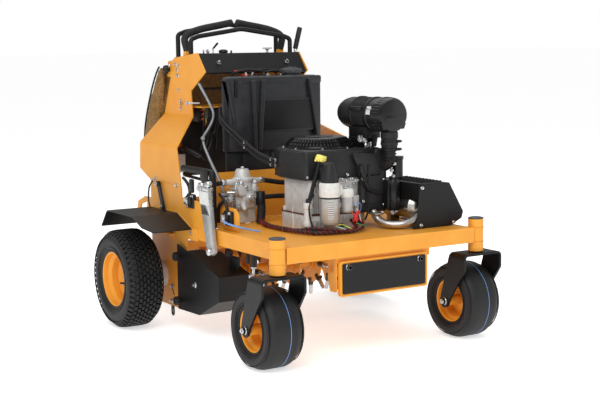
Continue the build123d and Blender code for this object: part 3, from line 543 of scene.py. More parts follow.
def makeCrankcase():
    low, high = spanOf("engine_block")
    seam = low.z + 70
    shape = bmesh.new()
    addPlate(shape, [(-176, -100), (-122, -132), (60, -132), (120, -90), (150, 120), (90, 225), (-100, 225),
                     (-176, 120)], "z", low.z, seam - 1.5, 12, 4)
    addPlate(shape, [(-168, -94), (-112, -100), (110, -100), (140, 110), (80, 215), (-90, 215), (-168, 110)],
             "z", seam + 1.5, high.z, 12, 5)
    pitch, proud = engine["finPitch"], engine["finProud"]
    for step in range(14):  # cast cooling fins down the left cylinder
        y = -84 + step * pitch
        addPlate(shape, [(y - 2, seam + 4), (y + 2, seam + 4), (y + 1.5, high.z - 4), (y - 1.5,
                                                                                       high.z - 4)], "x",
                 -168 - proud - 5 * math.sin(step / 13 * math.pi), -150, 0, 1)
    for step in range(6):
        x = -160 + step * 11
        addBlock(shape, (x - 1.6, -104 - proud, seam + 6), (x + 1.6, -88, high.z - 6), 1, 1)
    for x, y in ((-170, -88), (-170, 30), (-104, -126), (-20, -126), (48, -126), (-166, 108)):
        addBar(shape, (x, y, low.z), (x, y, seam - 6), 12, 9, 18, 2)
        addBar(shape, (x, y, seam + 2), (x, y, seam + 22), 10, 8, 18, 2)
    addBlock(shape, (-88, -122, 560), (70, -98, 640), 5)
    addBlock(shape, (-60, -128, 590), (-20, -98, 625), 6)
    addBar(shape, (30, -98, 606), (30, -126, 606), 18, 15, 24, 2)
    addBlock(shape, (-206, -152, 530), (-172, -92, 560), 4)
    finishPiece(shape, "crankcase_casting", castAluminium, "chassis", ["engine_block"])
    gasket = bmesh.new()
    addPlate(gasket, [(-177.5, -101), (-123, -133.5), (61, -133.5), (121.5, -91), (151.5, 121), (91, 226.5),
                      (-101, 226.5), (-177.5, 121)], "z", seam - 1.5, seam + 1.5, 12)
    finishPiece(gasket, "crankcase_gasket", gasketPaper, "chassis")
    bolts = bmesh.new()
    for x, y in ((-170, -88), (-170, 30), (-104, -126), (-20, -126), (48, -126)):
        addBolt(bolts, (x, y, seam + 22), (0, 0, 1), 10)
    for x, z in ((-130, 690), (-20, 660), (52, 690), (88, 584)):
        addBolt(bolts, (x, -104, z), (0, -1, 0), 10)
    addBar(bolts, (30, -122, 606), (30, -146, 606), 8, 8, 6, 1)
    finishPiece(bolts, "crankcase_bolts", zincSteel, "chassis")


gasketPaper = surface("gasket_paper", "#5A2E26", "#743B30", (0.6, 0.75), 12, 1.2, 0.04, 0.3)


def makeBlowerHousing():
    high = spanOf("blower_housing")[1]
    shape = bmesh.new()
    addPlate(shape, housingOutline, "z", 716, high.z - 4, 14, 5)
    inner = [(x * 0.97, (y - 75) * 0.97 + 75) for x, y in housingOutline]
    addPlate(shape, inner, "z", high.z - 6, high.z, 12, 4)
    addPlate(shape, [(-196.5, -112.5), (196.5, -112.5), (196.5, 91), (161, 206.5), (81, 263.5), (-81, 263.5),
                     (-161, 206.5), (-196.5, 99)], "z", 716.5, 724, 14, 2)  # the rolled lower lip
    # The scoop over the right cylinder, with its two swept facets.
    addPlate(shape, [(62, 722), (200, 722), (200, 834), (160, 834), (148, 818), (40, 822), (34, 806), (58,
                                                                                                       760)],
             "y", -131, -100, 4, 4)
    addPlate(shape, [(68, 563), (204, 563), (204, 830), (186, 830), (176, 722), (68, 718)], "y", -134, -108,
             4, 3)
    addPlate(shape, [(-130, 563), (60, 563), (60, 834), (-130, 834)], "x", 172, 206, 8, 4)
    addBlock(shape, (106, -137, 640), (118, -128, 770), 3)
    addPlate(shape, [(72, 566), (160, 566), (150, 600), (84, 600)], "y", -139, -132, 3, 2)
    for y in (-70, 0, 60):
        addBlock(shape, (203, y - 5, 600), (208, y + 5, 815), 2)
    for x, y in ((-186, -60), (-186, 40), (-150, -106), (20, -106)):
        addBar(shape, (x, y, 724), (x, y, 748), 8, 6, 16, 2)
    finishPiece(shape, "blower_housing_moulding", mouldedPlastic, "chassis",
                ["blower_housing"])
    bolts = bmesh.new()
    for x, z in ((80, 708), (192, 700), (192, 590), (82, 612), (-186, 730), (14, 730)):
        addBolt(bolts, (x, -134 if x > 60 else -113, z), (0, -1, 0), 9)
    for turn in range(8):
        angle = turn * math.pi / 4 + 0.3
        if abs(math.sin(angle)) < 0.99:
            addBolt(bolts, (158 * math.cos(angle), crankY + 158 * math.sin(angle), high.z), (0, 0, 1), 8)
    finishPiece(bolts, "blower_housing_bolts", zincSteel, "chassis")


def makeFanCover():
    low, high = spanOf("fan_cover")
    outer, inner = engine["fanOuter"], engine["fanInner"]
    shape = bmesh.new()
    centre = (0, crankY, 0)
    addTurned(shape, [(108, low.z), (outer + 2, low.z), (outer + 2, low.z + 5), (outer, low.z + 10),
                      (outer - 4, low.z + 12), (outer - 6, low.z + 9), (108, low.z + 5)], centre, "z", 72,
                      closed=True)
    addTurned(shape, [(0, high.z - 3), (inner - 26, high.z - 1), (inner - 22, high.z), (inner - 4,
                                                                                        high.z - 1),
                      (inner + 2, high.z - 4), (inner + 3, high.z - 9), (inner - 5, high.z - 8),
                      (0, high.z - 8)], centre, "z", 72)
    addTurned(shape, [(inner + 16, high.z - 15), (inner + 19, high.z - 13.5), (inner + 22, high.z - 17),
                      (inner + 18, high.z - 20)], centre, "z", 72, closed=True)
    for step in range(engine["fanFins"]):
        angle = step * 2 * math.pi / engine["fanFins"]
        fin = bmesh.new()
        bmesh.ops.create_cube(fin, size=1)
        wide = 14 if step % 15 == 0 else 5
        bmesh.ops.scale(fin, vec=(44 * mm, wide * mm, 7 * mm), verts=fin.verts)
        spot = (Matrix.Translation(at(0, crankY, 0)) @ Matrix.Rotation(angle, 4, "Z")
                @ Matrix.Translation(((inner + 15) * mm, 0, (low.z + high.z) / 2 * mm + 3.5 * mm))
                @ Matrix.Rotation(math.radians(42), 4, "Y"))
        bmesh.ops.transform(fin, matrix=spot, verts=fin.verts)
        joinShape(shape, fin)
    for turn in range(3):  # low ribs across the crown
        angle = turn * math.pi / 3
        a = (70 * math.cos(angle), crankY + 70 * math.sin(angle), high.z - 2.5)
        b = (-70 * math.cos(angle), crankY - 70 * math.sin(angle), high.z - 2.5)
        addBar(shape, a, b, 3, sides=8)
    finishPiece(shape, "fan_cover_moulding", glossPlastic, "chassis", ["fan_cover"])
    # A black plate inside the cover: painted shade seen through the slots between the fins.
    slotShadePlate = bmesh.new()
    addTurned(slotShadePlate, [(0, high.z - 12), (114, high.z - 12), (136, low.z + 8), (136, low.z + 4), (0,
                                                                                                 low.z + 4)],
              centre, "z", 48)
    finishPiece(slotShadePlate, "fan_cover_shadow_plate", blackPowderCoat, "chassis")


starter = {"x": -127, "y": -188, "radius": 42, "low": 536, "top": 713}


def makeStarter():
    x, y, radius = starter["x"], starter["y"], starter["radius"]
    low, top = starter["low"], starter["top"]
    shape = bmesh.new()
    addTurned(shape, [(0, low), (radius - 8, low), (radius - 3, low + 4), (radius - 1, low + 10), (radius,
                                                                                                   low + 12),
                      (radius, 654), (0, 654)], (x, y, 0), "z", 48)
    addBlock(shape, (x - 30, -150, 505), (x + 36, -132, 545), 4)
    for side in (-1, 1):
        addBar(shape, (x + side * 30, y + 4, low - 8), (x + side * 30, y + 4, low + 12), 6, sides=14,
               rounding=1)
    finishPiece(shape, "starter_body", silverPaint, "chassis", ["starter_motor"])
    collar = bmesh.new()
    addTurned(collar, [(0, 653), (radius + 1.5, 653), (radius + 2.5, 656), (radius + 2.5, 706), (radius - 1,
                                                                                                 top),
                       (0, top)], (x, y, 0), "z", 48)
    addBlock(collar, (x + 10, -200, 655), (x + 60, -150, 700), 8)
    finishPiece(collar, "starter_end_housing", palePlastic, "chassis")
    shroud = bmesh.new()
    addTurned(shroud, [(0, top), (radius - 4, top), (radius - 5, 742), (radius - 12, 768), (radius - 16, 790),
                       (radius - 21, 795), (0, 795)], (x, y, 0), "z", 40)
    addBlock(shroud, (x - 22, -176, 716), (x + 22, -116, 778), 10, 3)
    addTurned(shroud, [(radius + 0.3, 646), (radius + 1.6, 648), (radius + 1.6, 652), (radius + 0.3, 654)],
              (x, y, 0), "z", 48, closed=True)
    finishPiece(shroud, "starter_drive_shroud", mouldedPlastic, "chassis")
    label = bmesh.new()  # a plain rating label with blank bars, wrapped a little way round
    bmesh.ops.create_grid(label, x_segments=10, y_segments=1, size=0.5)
    labelLow, labelHigh, labelReach = 556, 634, 0.32
    for vert in label.verts:
        turn = math.radians(-118) + vert.co.x * 2 * labelReach
        height = labelLow + (vert.co.y + 0.5) * (labelHigh - labelLow)
        vert.co = at(x + (radius + 0.5) * math.cos(turn), y + (radius + 0.5) * math.sin(turn), height)
    bmesh.ops.recalc_face_normals(label, faces=label.faces)
    bmesh.ops.solidify(label, geom=label.faces[:], thickness=0.0004)
    finishPiece(label, "starter_label", labelFilm, "chassis")
    can = bmesh.new()
    addTurned(can, [(0, 580), (26, 580), (29, 584), (30, 590), (30, 646), (0, 646)], (-38, -180, 0), "z", 36)
    addBlock(can, (x, -184, 600), (-38, -168, 625), 3)
    finishPiece(can, "starter_solenoid", silverPaint, "chassis")
    top = bmesh.new()
    addTurned(top, [(0, 645), (31, 645), (32, 648), (32, 672), (27, 681), (12, 684), (0, 684)], (-38, -180,
                                                                                                 0), "z", 36)
    addBlock(top, (-70, -186, 650), (-44, -150, 676), 5)
    finishPiece(top, "starter_solenoid_cap", palePlastic, "chassis")
    terminals = bmesh.new()
    for spot in ((-52, -192, 684), (-26, -190, 684), (-38, -206, 590)):
        addBolt(terminals, spot, (0, 0, 1), 9, 7)
        addBar(terminals, spot, (spot[0], spot[1], spot[2] + 14), 2.6, sides=10)
    for spot in ((-60, -140, 712), (-36, -138, 716), (-14, -136, 708), (18, -136, 714), (46, -136, 706)):
        addBolt(terminals, spot, (0.1, -1, 0.3), 9, 7)
    addBar(terminals, (-66, -134, 704), (40, -134, 700), 3.5, sides=12)
    finishPiece(terminals, "starter_terminals", zincSteel, "chassis")


def labelMaterial():
    # Printed vinyl film: pale with blank darker bars about 9 mm apart, no lettering.
    material, tree, shader, place = startMaterial("printed_vinyl_film", {"Roughness": 0.4})
    spots = addNode(tree, "ShaderNodeSeparateXYZ", None, None, {"Vector": place}).outputs["Z"]
    wave = addNode(tree, "ShaderNodeMath", {"operation": "MULTIPLY"}, {1: 2 * math.pi / (9 * mm)},
                   {0: spots}).outputs[0]
    bars = addNode(tree, "ShaderNodeMath", {"operation": "SINE"}, None, {0: wave}).outputs[0]
    ramp = addNode(tree, "ShaderNodeValToRGB", None, None, {"Fac": bars})
    for element, spot, colour in zip(ramp.color_ramp.elements, (0.35, 0.5), ("#C9CACA", "#6F7174")):
        element.position = spot
        element.color = linear(colour)
    tree.links.new(ramp.outputs["Color"], shader.inputs["Base Color"])
    return material


labelFilm = labelMaterial()


def makeDipstick():
    y = -136
    shape = bmesh.new()
    addHose(shape, [(-200, y, 620), (-186, y, 665), (-165, y, 725), (-140, y, 798)], 9)
    addTurned(shape, [(8, 618), (12, 620), (12, 640), (9, 644)], (-200, y, 0), "z", 24, closed=True)
    finishPiece(shape, "dipstick_tube_body", glossPlastic, "chassis", ["dipstick_tube"])
    cap = bmesh.new()
    addTurned(cap, [(0, -14), (15, -14), (19, -12), (22, -6), (23, 4), (21, 11), (16, 14), (0, 15)],
              (-136, y, 810), "z", 20, direction=(0.3, -0.1, 1))
    for step in range(10):
        angle = step * math.pi / 5
        addBar(cap, (-139 + 22 * math.cos(angle), y + 22 * math.sin(angle), 799),
               (-134 + 21 * math.cos(angle), y + 21 * math.sin(angle), 818), 3.2, 2.2, 8, 1)
    finishPiece(cap, "dipstick_cap", yellowPlastic, "chassis")
    socket = bmesh.new()
    addTurned(socket, [(0, 530), (20, 530), (20, 552), (17, 558), (16, 600), (19, 604), (19, 622),
                       (15, 628), (0, 628)],
              (-203, y, 0), "z", 28)
    addBlock(socket, (-214, y - 16, 522), (-180, -100, 556), 4)
    addBar(socket, (-203, y, 610), (-168, -110, 612), 8, sides=16)
    finishPiece(socket, "dipstick_socket", castAluminium, "chassis")


def makeIgnition():
    boot = bmesh.new()
    addBar(boot, (70, -138, 752), (74, -150, 716), 9, 12, 20, 3)
    addBlock(boot, (58, -146, 736), (82, -132, 770), 4)
    route = [(74, -150, 716), (78, -156, 694), (92, -158, 668), (122, -152, 650), (170, -142, 643)]
    addHose(boot, route, 7)
    for spot, way in alongRoute(route, 6.5):  # the split conduit's ribs
        turn = Matrix.Translation(spot) @ way.to_track_quat("Z", "Y").to_matrix().to_4x4()
        bmesh.ops.create_cone(boot, cap_ends=True, segments=12, radius1=8.6 * mm, radius2=8.6 * mm,
                              depth=2.6 * mm,
                              matrix=turn)
    finishPiece(boot, "plug_lead_conduit", hoseRubber, "chassis")
    lead = bmesh.new()
    addHose(lead, [(100, -140, 700), (98, -146, 640), (96, -150, 600), (86, -160, 560), (60, -176, 540)], 4.5)
    addHose(lead, [(-60, -148, 700), (-72, -156, 668), (-68, -160, 640)], 3.5)
    addHose(lead, [(-176, -140, 660), (-204, -150, 630), (-212, -160, 590), (-206, -168, 540), (-196, -176,
                                                                                                512)], 4)
    finishPiece(lead, "engine_leads", glossPlastic, "chassis")


def makeLoom():
    # Braided sleeving with a red tracer thread, clipped down round the engine.
    route = [(-196, 262, 508), (-250, 170, 508), (-262, 60, 509), (-258, -60, 508), (-240, -160, 510),
             (-196, -222, 509), (-120, -236, 508), (-40, -228, 509), (10, -196, 516), (6, -150, 540)]
    second = [(-214, 250, 524), (-246, 150, 508), (-236, 20, 507), (-232, -90, 508), (-212, -170, 524),
              (-160, -228, 522), (-80, -250, 508), (0, -234, 510), (44, -196, 520), (40, -150, 560)]
    sleeve = bmesh.new()
    tracer = bmesh.new()
    for line, radius in ((route, 8), (second, 6.5)):
        addHose(sleeve, line, radius)
        spots = alongRoute(line, 3)
        for strand in range(2):
            coil = []
            for step, (spot, way) in enumerate(spots):
                across = way.orthogonal().normalized()
                turned = Matrix.Rotation(step * 0.42 + strand * math.pi, 3, way) @ across
                local = (spot - Vector((0, datumY, 0))) / mm + turned * (radius + 0.1)
                coil.append(local)
            addHose(tracer, coil, 0.9, 0)
    for spot, way in alongRoute(route, 160)[1:]:
        turn = Matrix.Translation(spot) @ way.to_track_quat("Z", "Y").to_matrix().to_4x4()
        bmesh.ops.create_cone(sleeve, cap_ends=True, segments=16, radius1=10 * mm, radius2=10 * mm,
                              depth=5 * mm,
                              matrix=turn)
    finishPiece(sleeve, "wiring_loom_sleeve", hoseRubber, "chassis", ["wiring_loom"])
    finishPiece(tracer, "wiring_loom_tracer", redPlastic, "chassis")


def makeWires():
    wires = {"red": (redPlastic, [[(-8, -206, 560), (20, -214, 540), (34, -190, 524), (30, -150, 515)],
                                  [(-30, -206, 586), (-26, -226, 560), (-10, -222, 530)]]),
             "yellow": (yellowPlastic, [[(-120, -206, 530), (-90, -222, 540), (-60, -214, 524), (-44, -230,
                                                                                                 514)],
                                        [(30, -196, 520), (56, -178, 514), (70, -150, 520)]]),
             "green": (greenPlastic, [[(-116, -210, 520), (-84, -228, 530), (-50, -222, 516)],
                                      [(-20, -226, 536), (10, -236, 528), (36, -220, 518)]]),
             "pale": (palePlastic, [[(-128, -204, 536), (-100, -226, 524), (-70, -234, 512)],
                                    [(8, -190, 590), (20, -196, 560), (16, -210, 540)]]),
             "blue": (bluePlastic, [[(-30, -192, 600), (0, -206, 622), (30, -190, 612), (42, -170, 580),
                                     (40, -150, 548)]])}
    for colour, (material, routes) in wires.items():
        shape = bmesh.new()
        for route in routes:
            addHose(shape, route, 2.2, 2)
        finishPiece(shape, "engine_wires_" + colour, material, "chassis")
    boots = bmesh.new()
    addBar(boots, (-14, -208, 540), (-2, -200, 572), 12, 9, 18, 3)
    addBar(boots, (-2, -200, 570), (18, -196, 582), 8, 6, 16, 2)
    finishPiece(boots, "terminal_boots", redPlastic, "chassis")
    plugs = bmesh.new()
    for spot in ((-84, -208, 528), (22, -188, 536), (-190, -190, 514)):
        x, y, z = spot
        addBlock(plugs, (x - 16, y - 9, z - 9), (x + 14, y + 9, z + 9), 3)
        addBlock(plugs, (x - 8, y - 12, z + 4), (x + 6, y - 4, z + 13), 2)
    finishPiece(plugs, "wiring_connectors", mouldedPlastic, "chassis")


greenPlastic = surface("green_plastic", "#2F8F5A", "#43A36C", (0.34, 0.45), 15, 1.2, 0.03, 0.2)


# Air cleaner, intake and exhaust.

airCleaner = {"x": 198, "z": 980, "radius": 73, "front": -200, "back": 165}


def makeAirCleaner():
    x, z, radius = airCleaner["x"], airCleaner["z"], airCleaner["radius"]
    front, back = airCleaner["front"], airCleaner["back"]
    shape = bmesh.new()
    centre = (x, 0, z)
    addTurned(shape, [(0, -132), (radius - 1, -132), (radius - 1, -86), (radius + 2.5, -84), (radius + 2.5,
                                                                                              -66),
                      (radius - 1, -64), (radius - 1, 28), (radius + 2, 30), (radius + 2, 44), (radius - 2,
                                                                                                46),
                      (radius - 2, 104), (radius - 8, 134), (radius - 18, back - 8), (radius - 32, back),
                      (0, back)], centre, "y", 64)
    for step in range(9):  # ribs across the waist
        y = -54 + step * 9
        addTurned(shape, [(radius - 2, y - 2), (radius + 0.8, y - 1), (radius + 0.8, y + 1), (radius - 2,
                                                                                              y + 2)],
                  centre, "y", 64)
    for angle in (20, 160, 250):
        turn = math.radians(angle)
        way = Vector((math.cos(turn), 0, math.sin(turn)))
        base = Vector((x, 0, z)) + way * (radius + 1)
        addBlock(shape, base + Vector((-9, -56, -9)), base + Vector((9, 26, 9)), 4)
    finishPiece(shape, "air_cleaner_body", mouldedPlastic, "chassis", ["air_cleaner"])
    cap = bmesh.new()
    addTurned(cap, [(radius - 4, -128), (radius + 4, -128), (radius + 4, -142), (radius + 2, -146),
                    (radius + 1, front + 12), (radius - 4, front + 3), (radius - 12, front), (0, front)],
              centre, "y", 64)
    for step in range(36):  # moulded grip ribs round the cap
        turn = step * math.pi / 18
        a = (x + (radius + 3) * math.cos(turn), -144, z + (radius + 3) * math.sin(turn))
        b = (x + (radius + 0.5) * math.cos(turn), front + 12, z + (radius + 0.5) * math.sin(turn))
        addBar(cap, a, b, 2.6, 1.6, 6)
    addBlock(cap, (x - 46, front - 3, z - 22), (x + 46, front + 3, z - 2), 2)  # a blank moulded bar
    addPlate(cap, [(x - 66, z - 34), (x + 66, z - 34), (x + 56, z - 60), (x - 56, z - 60)], "y", front + 4,
             front + 34, 4, 3)
    finishPiece(cap, "air_cleaner_cap", glossPlastic, "chassis")
    straps = bmesh.new()
    for y in (-75, 37):
        addTurned(straps, [(radius + 2, y - 8), (radius + 3.6, y - 7), (radius + 3.6, y + 7), (radius + 2,
                                                                                               y + 8)],
                  centre, "y", 64)
    saddle = [(x - 60, 876), (x + 20, 876), (x + 20, 916), (x - 60, 926)]
    addPlate(straps, saddle, "y", -70, 60, 4, 3)
    addPlate(straps, [(x - 64, 839), (x - 30, 839), (x - 20, 880), (x - 64, 880)], "y", -56, 56, 3, 2)
    addPlate(straps, [(x - 30, 839), (x - 4, 839), (x + 6, 890), (x - 20, 890)], "y", -74, -50, 2, 2)
    finishPiece(straps, "air_cleaner_bracket_straps", blackPowderCoat, "chassis")
    sticker = bmesh.new()
    bmesh.ops.create_grid(sticker, x_segments=10, y_segments=1, size=0.5)
    for vert in sticker.verts:
        turn = math.radians(196) + vert.co.x * 0.5
        vert.co = at(x + (radius + 0.3) * math.cos(turn), -106 + vert.co.y * 30,
                     z - (radius + 0.3) * math.sin(turn))
    bmesh.ops.recalc_face_normals(sticker, faces=sticker.faces)
    bmesh.ops.solidify(sticker, geom=sticker.faces[:], thickness=-0.0006)
    finishPiece(sticker, "air_cleaner_sticker", palePlastic, "chassis")
    clips = bmesh.new()
    for angle in (200, 320):
        turn = math.radians(angle)
        way = Vector((math.cos(turn), 0, -math.sin(turn)))
        base = Vector((x, 0, z)) + way * (radius + 3)
        addHose(clips, [base + Vector((0, -136, 0)), base + way * 7 + Vector((0, -120, 0)),
                        base + way * 3 + Vector((0, -100, 0)), base + Vector((0, -90, 0))], 1.8, 2)
    for spot in ((140, -62, 868), (118, -60, 872), (176, -60, 852)):
        addBolt(clips, spot, (-0.3, -1, 0.2), 16, 9)
    addBar(clips, (120, -66, 866), (182, -66, 846), 5, sides=12)
    addBolt(clips, (150, -70, 845), (0, -1, 0), 20, 12)
    addBlock(clips, (108, -64, 868), (128, -52, 892), 3)
    finishPiece(clips, "air_cleaner_clips", zincSteel, "chassis")


def makeIntake():
    x, y = airCleaner["x"] - 2, -166
    shape = bmesh.new()
    addTurned(shape, [(0, 838), (32, 838), (35, 842), (35, 850), (38, 852), (38, 862), (35, 864), (35, 878),
                      (38, 882),
                      (38, 905), (30, 914), (0, 914)], (x, y, 0), "z", 40)
    addHose(shape, [(x, y, 846), (x + 1, y, 818), (x + 6, y + 4, 792), (x + 6, y + 18, 770), (x, y + 40,
                                                                                              760)], 27)
    for height in (826, 814, 802, 790):  # bellows
        addTurned(shape, [(25, height - 4), (31, height - 1), (31, height + 1), (25, height + 4)],
                  (x + 3, y + 2, 0), "z", 32)
    finishPiece(shape, "intake_duct", hoseRubber, "chassis", ["intake_stack"])
    bands = bmesh.new()
    for height in (868, 834):
        addTurned(bands, [(35.2, height - 5), (36.6, height - 5), (36.6, height + 5), (35.2, height + 5)],
                  (x, y, 0), "z", 40, closed=True)
        addBlock(bands, (x + 20, y - 38, height - 6), (x + 36, y - 28, height + 6), 2)
        addBar(bands, (x + 16, y - 34, height), (x + 44, y - 30, height), 3.2, sides=10)
    finishPiece(bands, "intake_hose_bands", boltBlack, "chassis")
    clamps = bmesh.new()
    for spot in ((x + 18, y - 2, 716), (x + 6, y - 8, 742), (x + 22, y - 6, 770), (x + 2, y - 20, 560)):
        addBolt(clamps, spot, (-0.2, -1, 0.1), 12, 8)
    addBar(clamps, (x + 8, y - 12, 556), (x + 34, y - 10, 562), 9, 7, 14, 2)
    finishPiece(clamps, "intake_clamps", zincSteel, "chassis")
    cans = bmesh.new()
    addTurned(cans, [(0, 706), (20, 706), (23, 710), (23, 786), (26, 788), (26, 800), (0, 802)], (x + 50,
                                                                                                  y + 8, 0),
              "z", 32)
    addTurned(cans, [(0, 566), (26, 566), (29, 571), (29, 690), (24, 702), (0, 704)], (x + 30, y + 12, 0),
              "z", 32)
    addBlock(cans, (x - 12, y - 4, 572), (x + 8, y + 30, 700), 4)
    addBlock(cans, (x + 6, y - 8, 696), (x + 66, y + 14, 716), 4)
    finishPiece(cans, "intake_canisters", glossPlastic, "chassis")


exhaust = {"x": 303, "z": 583, "radius": 56, "front": -262, "back": 5, "pipe": 17}


def makeMuffler():
    x, z, radius = exhaust["x"], exhaust["z"], exhaust["radius"]
    front, back = exhaust["front"], exhaust["back"]
    shape = bmesh.new()
    addTurned(shape, [(0, front), (20, front + 1), (38, front + 6), (50, front + 15), (radius, front + 28),
                      (radius + 2.5, front + 30), (radius + 2.5, front + 36), (radius, front + 38),
                      (radius, back - 36), (radius + 2, back - 34), (radius + 2, back - 29), (radius - 1,
                                                                                              back - 26),
                      (46, back - 10), (24, back - 1), (0, back)], (x, 0, z), "y", 56)
    addHose(shape, [(124, -150, 566), (124, -166, 548), (128, -186, 528), (146, -228, 516), (190, -268, 517),
                    (240, -282, 532), (282, -284, 556), (300, -278, 576), (303, -250, 583)],
                    exhaust["pipe"], 5)
    addTurned(shape, [(16, -6), (25, -5), (25, 3), (16, 5)], (124, -158, 562), "z", 32, closed=True)
    addBlock(shape, (102, -190, 556), (150, -140, 564), 3)
    addBlock(shape, (x - 26, -212, 498), (x + 26, -184, 534), 3)
    addBlock(shape, (x - 26, -60, 498), (x + 26, -32, 534), 3)
    addPlate(shape, [(176, -232), (262, -292), (352, -292), (352, -232)], "z", 498, 501, 4)
    finishPiece(shape, "muffler_can", muffSteel, "chassis", ["muffler"])


def makeMufflerGuard():
    # The louvres are shallow raised bridges over the slots that the frame's sheet has.
    low, high = spanOf("muffler_guard")
    shape = bmesh.new()
    for step in range(11):
        y = -270 + step * 24
        addPlate(shape, [(y - 3, 688), (y + 1, 695), (y + 8, 690), (y + 6, 687)], "x", 286, 398, 0, 1)
    addBlock(shape, (253, low.y + 4, 618), (257, high.y, 690), 1)
    for x in (286, 320, 354, 386):
        addPlate(shape, [(x - 12, 664), (x - 8, 678), (x + 4, 682), (x + 10, 664), (x + 6, 640), (x - 8,
                                                                                                  640)], "y",
                 -40, -37, 3)
    finishPiece(shape, "muffler_guard_louvres", blackPowderCoat, "chassis")
    bolts = bmesh.new()
    for x, z in ((262, 512), (440, 512), (268, 672)):
        addBolt(bolts, (x, low.y, z), (0, -1, 0), 10)
    finishPiece(bolts, "muffler_guard_bolts", zincSteel, "chassis")


makeCrankcase()
makeBlowerHousing()
makeFanCover()
makeStarter()
makeDipstick()
makeIgnition()
makeLoom()
makeWires()
makeAirCleaner()
makeIntake()
makeMuffler()
makeMufflerGuard()
print("engine ready")


# Fuel tank.

tank = {"front": 466, "bottom": 800, "top": 1142, "label": (-58, 206, 893, 1030)}
tankPlan = [(-175, 466), (175, 466), (284, 494), (262, 560), (190, 640), (-165, 640), (-190, 602), (-262,
                                                                                                    494)]


def scaledPlan(share):
    return [(x * share, (y - 560) * share + 560) for x, y in tankPlan]


def makeTank():
    bottom, top, front = tank["bottom"], tank["top"], tank["front"]
    shape = bmesh.new()
    addPlate(shape, scaledPlan(0.985), "z", bottom, top - 14, 16, 5)
    addPlate(shape, scaledPlan(1.0), "z", top - 40, top - 2, 16, 9)  # the thicker shoulder under the top
    addPlate(shape, scaledPlan(0.9), "z", top - 6, top, 16, 3)
    # Ribs and flutes moulded down the front wall.
    for xTop, xLow, wide in ((-60, -84, 13), (188, 238, 9), (-116, -104, 11)):
        addPlate(shape, [(xTop - wide, top - 16), (xTop + wide, top - 16), (xLow + wide * 0.7, bottom + 4),
                         (xLow - wide * 0.7, bottom + 4)], "y", front - 13, front + 14, 6, 6)
    rib = bmesh.new()  # the slanting rib over the chamfered corner
    addBar(rib, (-236, 482, top - 20), (-190, 472, bottom + 20), 9, 7, 16, 4)
    joinShape(shape, rib)
    addPlate(shape, [(-258, bottom + 6), (-186, bottom + 6), (-214, top - 60), (-250, top - 20), (-258,
                                                                                                  top - 20)],
             "y", 486, 500, 8, 4)
    x0, x1, z0, z1 = tank["label"]
    addPlate(shape, [(x0 - 8, z0 - 8), (x1 + 8, z0 - 8), (x1 + 8, z1 + 8), (x0 - 8, z1 + 8)], "y", front - 3,
             front + 10, 8, 2)
    for side in (-1, 1):
        addBlock(shape, (side * 200 - 10, front + 20, bottom - 2), (side * 200 + 10, front + 60,
                                                                    bottom + 30), 4)
    addTurned(shape, [(0, top - 4), (60, top - 4), (58, top + 2), (46, top + 4), (46, top + 13), (0,
                                                                                                  top + 14)],
              (150, 565, 0), "z", 48)
    addTurned(shape, [(0, top - 2), (30, top - 2), (28, top + 4), (0, top + 5)], (-60, 560, 0), "z", 32)
    finishPiece(shape, "fuel_tank_moulding", tankPolyethylene, "chassis", ["fuel_tank"])
    dark = bmesh.new()
    addBlock(dark, (x0, front - 4.5, z0), (x1, front + 4, z1), 1.2)
    addBlock(dark, (-206, 467, 1050), (-190, 480, 1128), 3)
    finishPiece(dark, "tank_blank_plate", blackPowderCoat, "chassis")
    base = bmesh.new()
    addPlate(base, [(-246, 500), (246, 500), (180, 600), (160, 636), (-160, 636), (-180, 600)], "z", 642,
             799, 12, 6)
    for x in (-150, 0, 150):
        addBlock(base, (x - 8, 494, 650), (x + 8, 504, 790), 3)
    finishPiece(base, "tank_tray", mouldedPlastic, "chassis")


def makeTankCap():
    shape = bmesh.new()
    addTurned(shape, [(0, 1152.5), (51, 1152.5), (52, 1156), (52, 1168), (47, 1173), (30, 1174), (28, 1180),
                      (0, 1180)], (150, 565, 0), "z", 48)
    for step in range(20):
        turn = step * math.pi / 10
        addBar(shape, (150 + 51 * math.cos(turn), 565 + 51 * math.sin(turn), 1155),
               (150 + 50 * math.cos(turn), 565 + 50 * math.sin(turn), 1170), 3.4, 2.4, 8)
    finishPiece(shape, "fuel_cap_moulding", greyPlastic, "tank_cap", ["fuel_cap"])


def makeTankFittings():
    pipes = bmesh.new()
    addHose(pipes, [(-150, 628, 1104), (-160, 600, 1150), (-110, 560, 1172), (-30, 556, 1168), (20, 560,
                                                                                                1158)], 6)
    addHose(pipes, [(-60, 560, 1142), (-60, 560, 1160), (-20, 566, 1174), (60, 590, 1168), (110, 628,
                                                                                            1152)], 5)
    addHose(pipes, [(20, 566, 1160), (60, 560, 1168), (90, 556, 1160), (96, 540, 1146)], 5)
    addHose(pipes, [(-190, 598, 1010), (-222, 560, 1030), (-226, 520, 1010), (-216, 500, 960)], 5)
    finishPiece(pipes, "tank_vent_pipes", hoseRubber, "chassis")
    red = bmesh.new()
    for x in (-120, -66, -14):
        addBar(red, (x - 8, 612, 1164), (x + 8, 612, 1166), 4, sides=12, rounding=1)
    addBlock(red, (-108, 556, 1139), (-84, 580, 1150), 3)
    finishPiece(red, "tank_valve_handles", redPlastic, "chassis")
    brass = bmesh.new()
    for x in (-96, -60, 20, 96):
        addTurned(brass, [(0, 1138), (9, 1138), (9, 1146), (6, 1148), (6, 1158), (0, 1160)], (x, 562, 0),
                  "z", 16)
    finishPiece(brass, "tank_fittings", zincSteel, "chassis")


# Console and its controls.

console = {"front": 692, "frontTop": 1249, "fall": 24 / 241}


def topAt(y):
    return console["frontTop"] - (y - console["front"]) * console["fall"]


